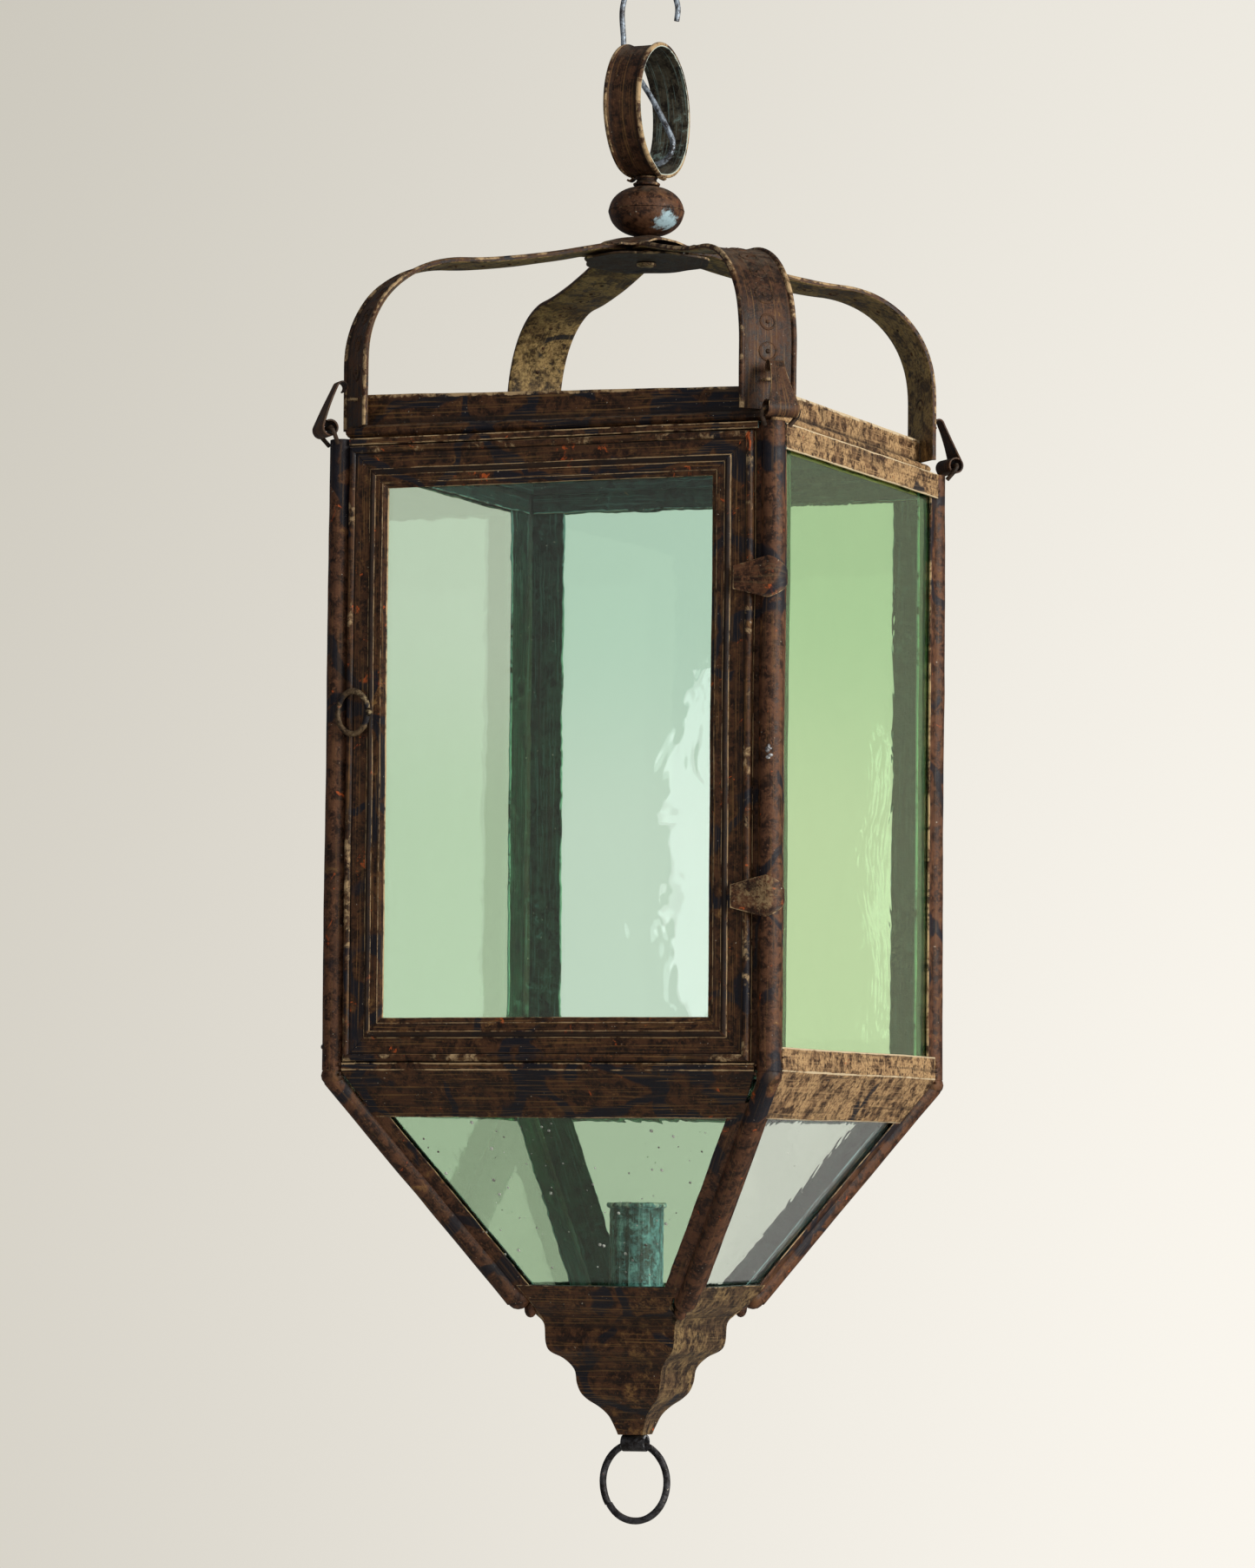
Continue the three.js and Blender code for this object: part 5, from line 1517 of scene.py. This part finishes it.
def makePull():
    wire, high = wires["pull"], wires["pullHeightAt"]
    plane = doorFront + gap + wire / 2
    pullX = doorLeft + wires["pullInset"]
    wide = (wires["pullWidth"] - wire) / 2
    loop = loopPoints(wide, (wires["pullHeight"] - wire) / 2, 0, 20, 40)
    path = [Vector((pullX - wide + x, -plane + 0.25 * math.sin(z * 0.3), high + z)) for x, z in loop]
    eye = grow(wireTree, pathMesh("pull", path), Diameter=wire * mm * 0.94, Step=1.0 * mm, Uneven=0.12,
               Finish=rustyWire)
    clench = doorFront - door["depth"] - gap - wire
    turns = [(-0.5, 0.1 - plane), (0, 1.2 - plane), (0, -clench - 1.2), (-0.5, 0.1 - clench), (-5.8, -clench)]
    shankPath = [Vector((pullX + x, y, high)) for x, y in turns]
    shank = grow(wireTree, pathMesh("shank", shankPath), Diameter=wire * mm * 0.9, Step=0.8 * mm,
                 Uneven=0.08, Finish=rustyWire)
    settle(addEdge(joinMeshes(eye, shank)), "door_pull")


def makeStaple():
    # a loop of tin strap under the finial's tip
    radius = 4.2
    centre = Vector((0, 0, -hopper["height"] - 62.2 - gap - radius))
    flat = soften([(-6.25, -0.5), (6.25, -0.5), (6.25, 0.5), (-6.25, 0.5)], 0.3, 2, 5)
    rolled = radius - 0.5
    path = []
    for k in range(28):
        angle = math.radians(96 + 348 * k / 27)
        path.append(centre + Vector((0, rolled * math.cos(angle), 0.5 + rolled * math.sin(angle))))
    stock = bend(newStock(), flat, path, Vector((1, 0, 0)))
    settle(toMesh("staple", stock, [ironWire]), "ring_staple")
    return centre.z


def makeBottomRing(stapleZ):
    wire = wires["bottom"]
    tall = (wires["ringHeight"] - wire) / 2
    middle = stapleZ - 3.2 + gap + wire / 2 - tall + wires["ringFlat"]
    loop = loopPoints((wires["ringWidth"] - wire) / 2, tall, 215, 1, 60, wires["ringFlat"])
    # the ends pass each other a little at the lower left
    path = []
    for i, (x, z) in enumerate(loop):
        t = i / 60
        side = 0.55 * (1 - min(1, t / 0.06)) - 0.55 * (1 - min(1, (1 - t) / 0.06))
        path.append(Vector((x, side, middle + z)))
    shape = grow(wireTree, pathMesh("bottomRing", path), Diameter=wire * mm * 0.97, Step=1.3 * mm,
                 Uneven=0.07, Finish=ironWire)
    settle(addEdge(shape), "bottom_ring")


makeHook()
makePull()
makeBottomRing(makeStaple())
print("wires made")


def dropsAlong(points, seed, size=0.9, pitch=2.2, spreadBy=0.5, finish=None):
    path = pathMesh("joint", points)
    return grow(dropTree, path, Pitch=pitch * mm, Size=size * mm, Spread=spreadBy * mm, Seed=seed,
                Finish=finish or solderPainted)


# runs of solder at each post, out from its axis in x and y and up from the fold
solderRuns = [[(4.2, -5.2, 2.5), (4.6, -5.4, 6), (4.2, -5.2, 13)],
              [(-5.2, 4.2, 2.5), (-5.4, 4.6, 4), (-5.2, 4.2, 6.5)],
              [(3.9, -5.3, 300), (3.7, -5.4, 309)],
              [(-6.4, -3.6, 309.4), (-2, -3, 311.2), (-3.6, -6.4, 309.4)]]


def makeSolder():
    # lumps of old solder, mostly painted over, where strips meet posts and at the finial's mitres
    runs = []
    for sx, sy in signs:
        for run in solderRuns:
            runs.append([Vector((sx * (half + x), sy * (half + y), z)) for x, y, z in run])
        foot = Vector((sx * 39.5, sy * 39.5, -hopper["height"] + 4))
        runs.append([foot, foot + Vector((-2 * sx, -2 * sy, -4))])
    pieces = [dropsAlong(points, 11 + i) for i, points in enumerate(runs)]
    whole = joinMeshes(*pieces)
    # bright scars: one on the hinge post, one nub low on the latch post
    scarPath = [Vector((half + 1.2, -half - 5.2, 152)), Vector((half + 1.6, -half - 5.1, 157))]
    nubPath = [Vector((-half - 4.6, -half - 1.6, 14)), Vector((-half - 5.3, -half - 1.9, 15))]
    scar = dropsAlong(scarPath, 5, 1.3, 1.0, 0.9, solderMetal)
    nub = dropsAlong(nubPath, 8, 1.2, 0.9, 0.3, solderMetal)
    joinMeshes(whole, scar, nub)
    settle(addEdge(whole, 0.35), name="solderDrops", body="lantern", slot="tin")


def paneSurface(side):
    # the outer face of a hopper pane, as a plain sheet for specks to lie on
    turn = quarter(dict(sides)[side])
    outer = bandOuter - sheet - gap + 0.05
    points = []
    for run in (24, 60, 92, 112):
        reach, height = slopePoint(run, outer)
        wide = ribLimit(height) - 6
        points += [turn @ Vector((reach, -wide, height)), turn @ Vector((reach, wide, height))]
    mesh = bpy.data.meshes.new("paneSurface")
    mesh.from_pydata(inFrame(points), [], [(0, 1, 3, 2), (2, 3, 5, 4), (4, 5, 7, 6)])
    return mesh


def makeSplashes():
    # dried lime on the lower panes, thickest at the front
    first = grow(speckTree, paneSurface("front"), Density=11000.0, Size=1.05 * mm, Flatness=0.35, Seed=3,
                 Finish=lime)
    for side, amount, seed in (("right", 1500.0, 6), ("back", 1500.0, 9), ("left", 2500.0, 12)):
        joinMeshes(first, grow(speckTree, paneSurface(side), Density=amount, Size=0.55 * mm, Flatness=0.35,
                               Seed=seed, Finish=lime))
    settle(addEdge(first, 0.0), name="limeSplashes", body="lantern", slot="glass")


makeSolder()
makeSplashes()
print("solder and splashes made")


def lamp(name, spot, aim, size, power, color, sizeY=None):
    data = bpy.data.lights.new(name, "AREA")
    data.energy, data.color = power, color
    data.size = size
    if sizeY:
        data.shape = "RECTANGLE"
        data.size_y = sizeY
    holder = bpy.data.objects.new(name, data)
    holder.matrix_world = (Matrix.Translation(spot)
                           @ (Vector(aim) - Vector(spot)).to_track_quat("-Z", "Y").to_matrix().to_4x4())
    bpy.context.scene.collection.objects.link(holder)
    return holder


lamp("windowRight", (2.25, -0.55, 0.2), (0, 0, -0.35), 1.1, 50, (1.0, 0.965, 0.91))
fill = lamp("fill", (-1.6, -2.2, 0.8), (0, 0, -0.35), 1.6, 4.5, (0.95, 0.97, 1.0))
fill.visible_glossy = False
fill.visible_transmission = False
glint = lamp("windowGlint", (-0.52, -1.6, -0.32), (0.07, -0.12, -0.395), 0.05, 0.1, (0.93, 0.97, 1.0), 0.27)
glint.data.shape = "ELLIPSE"
glint.visible_diffuse = False


def makeWorld():
    # a bright plain wall behind, and a dimmer room that lights the metal from all round
    world = bpy.data.worlds.new("room")
    world.use_nodes = True
    tree = world.node_tree
    tree.nodes.clear()
    toward = put(tree, "ShaderNodeTexCoord").outputs["Generated"]
    side = put(tree, "ShaderNodeVectorMath", {0: toward, 1: (0.92, 0.38, 0)}, operation="DOT_PRODUCT")
    upward = put(tree, "ShaderNodeSeparateXYZ", {0: toward}).outputs[2]
    across = ramp(tree, side.outputs["Value"], -0.2, 0.16)
    wall = blend(tree, across, (0.63, 0.6, 0.53, 1), (0.98, 0.945, 0.875, 1))
    higher = blend(tree, 1.0, wall, (0.88, 0.88, 0.87, 1), "MULTIPLY")
    wall = blend(tree, ramp(tree, upward, -0.03, 0.25), wall, higher)
    window = put(tree, "ShaderNodeVectorMath", {0: toward, 1: (0.88, -0.47, 0.1)}, operation="DOT_PRODUCT")
    lit = ramp(tree, window.outputs["Value"], -0.2, 0.95)
    dim = blend(tree, lit, (0.13, 0.13, 0.135, 1), (0.62, 0.59, 0.55, 1))
    rays = put(tree, "ShaderNodeLightPath").outputs
    seen = maths(tree, "MAXIMUM", rays["Is Camera Ray"], rays["Is Transmission Ray"])
    shade = put(tree, "ShaderNodeBackground", {"Color": blend(tree, seen, dim, wall), "Strength": 1.0})
    put(tree, "ShaderNodeOutputWorld", {"Surface": shade.outputs[0]})
    bpy.context.scene.world = world


def makeFloor():
    mesh = bpy.data.meshes.new("floor")
    count = 64
    mesh.from_pydata([(x, y, -1.3) for x, y, e in circle(1.2, count)], [], [list(range(count))])
    material, tree = newFinish("paleFloor")
    where = put(tree, "ShaderNodeTexCoord").outputs["Object"]
    tone = blend(tree, grainAt(tree, where, 3, 4), (0.62, 0.6, 0.56, 1), (0.72, 0.7, 0.66, 1))
    shader = put(tree, "ShaderNodeBsdfPrincipled", {"Base Color": tone, "Roughness": 0.7})
    put(tree, "ShaderNodeOutputMaterial", {"Surface": shader.outputs[0]})
    mesh.materials.append(material)
    floor = bpy.data.objects.new("floor", mesh)
    bpy.context.scene.collection.objects.link(floor)


makeWorld()
makeFloor()
bpy.context.scene.view_settings.view_transform = "Standard"
print("light and floor set")
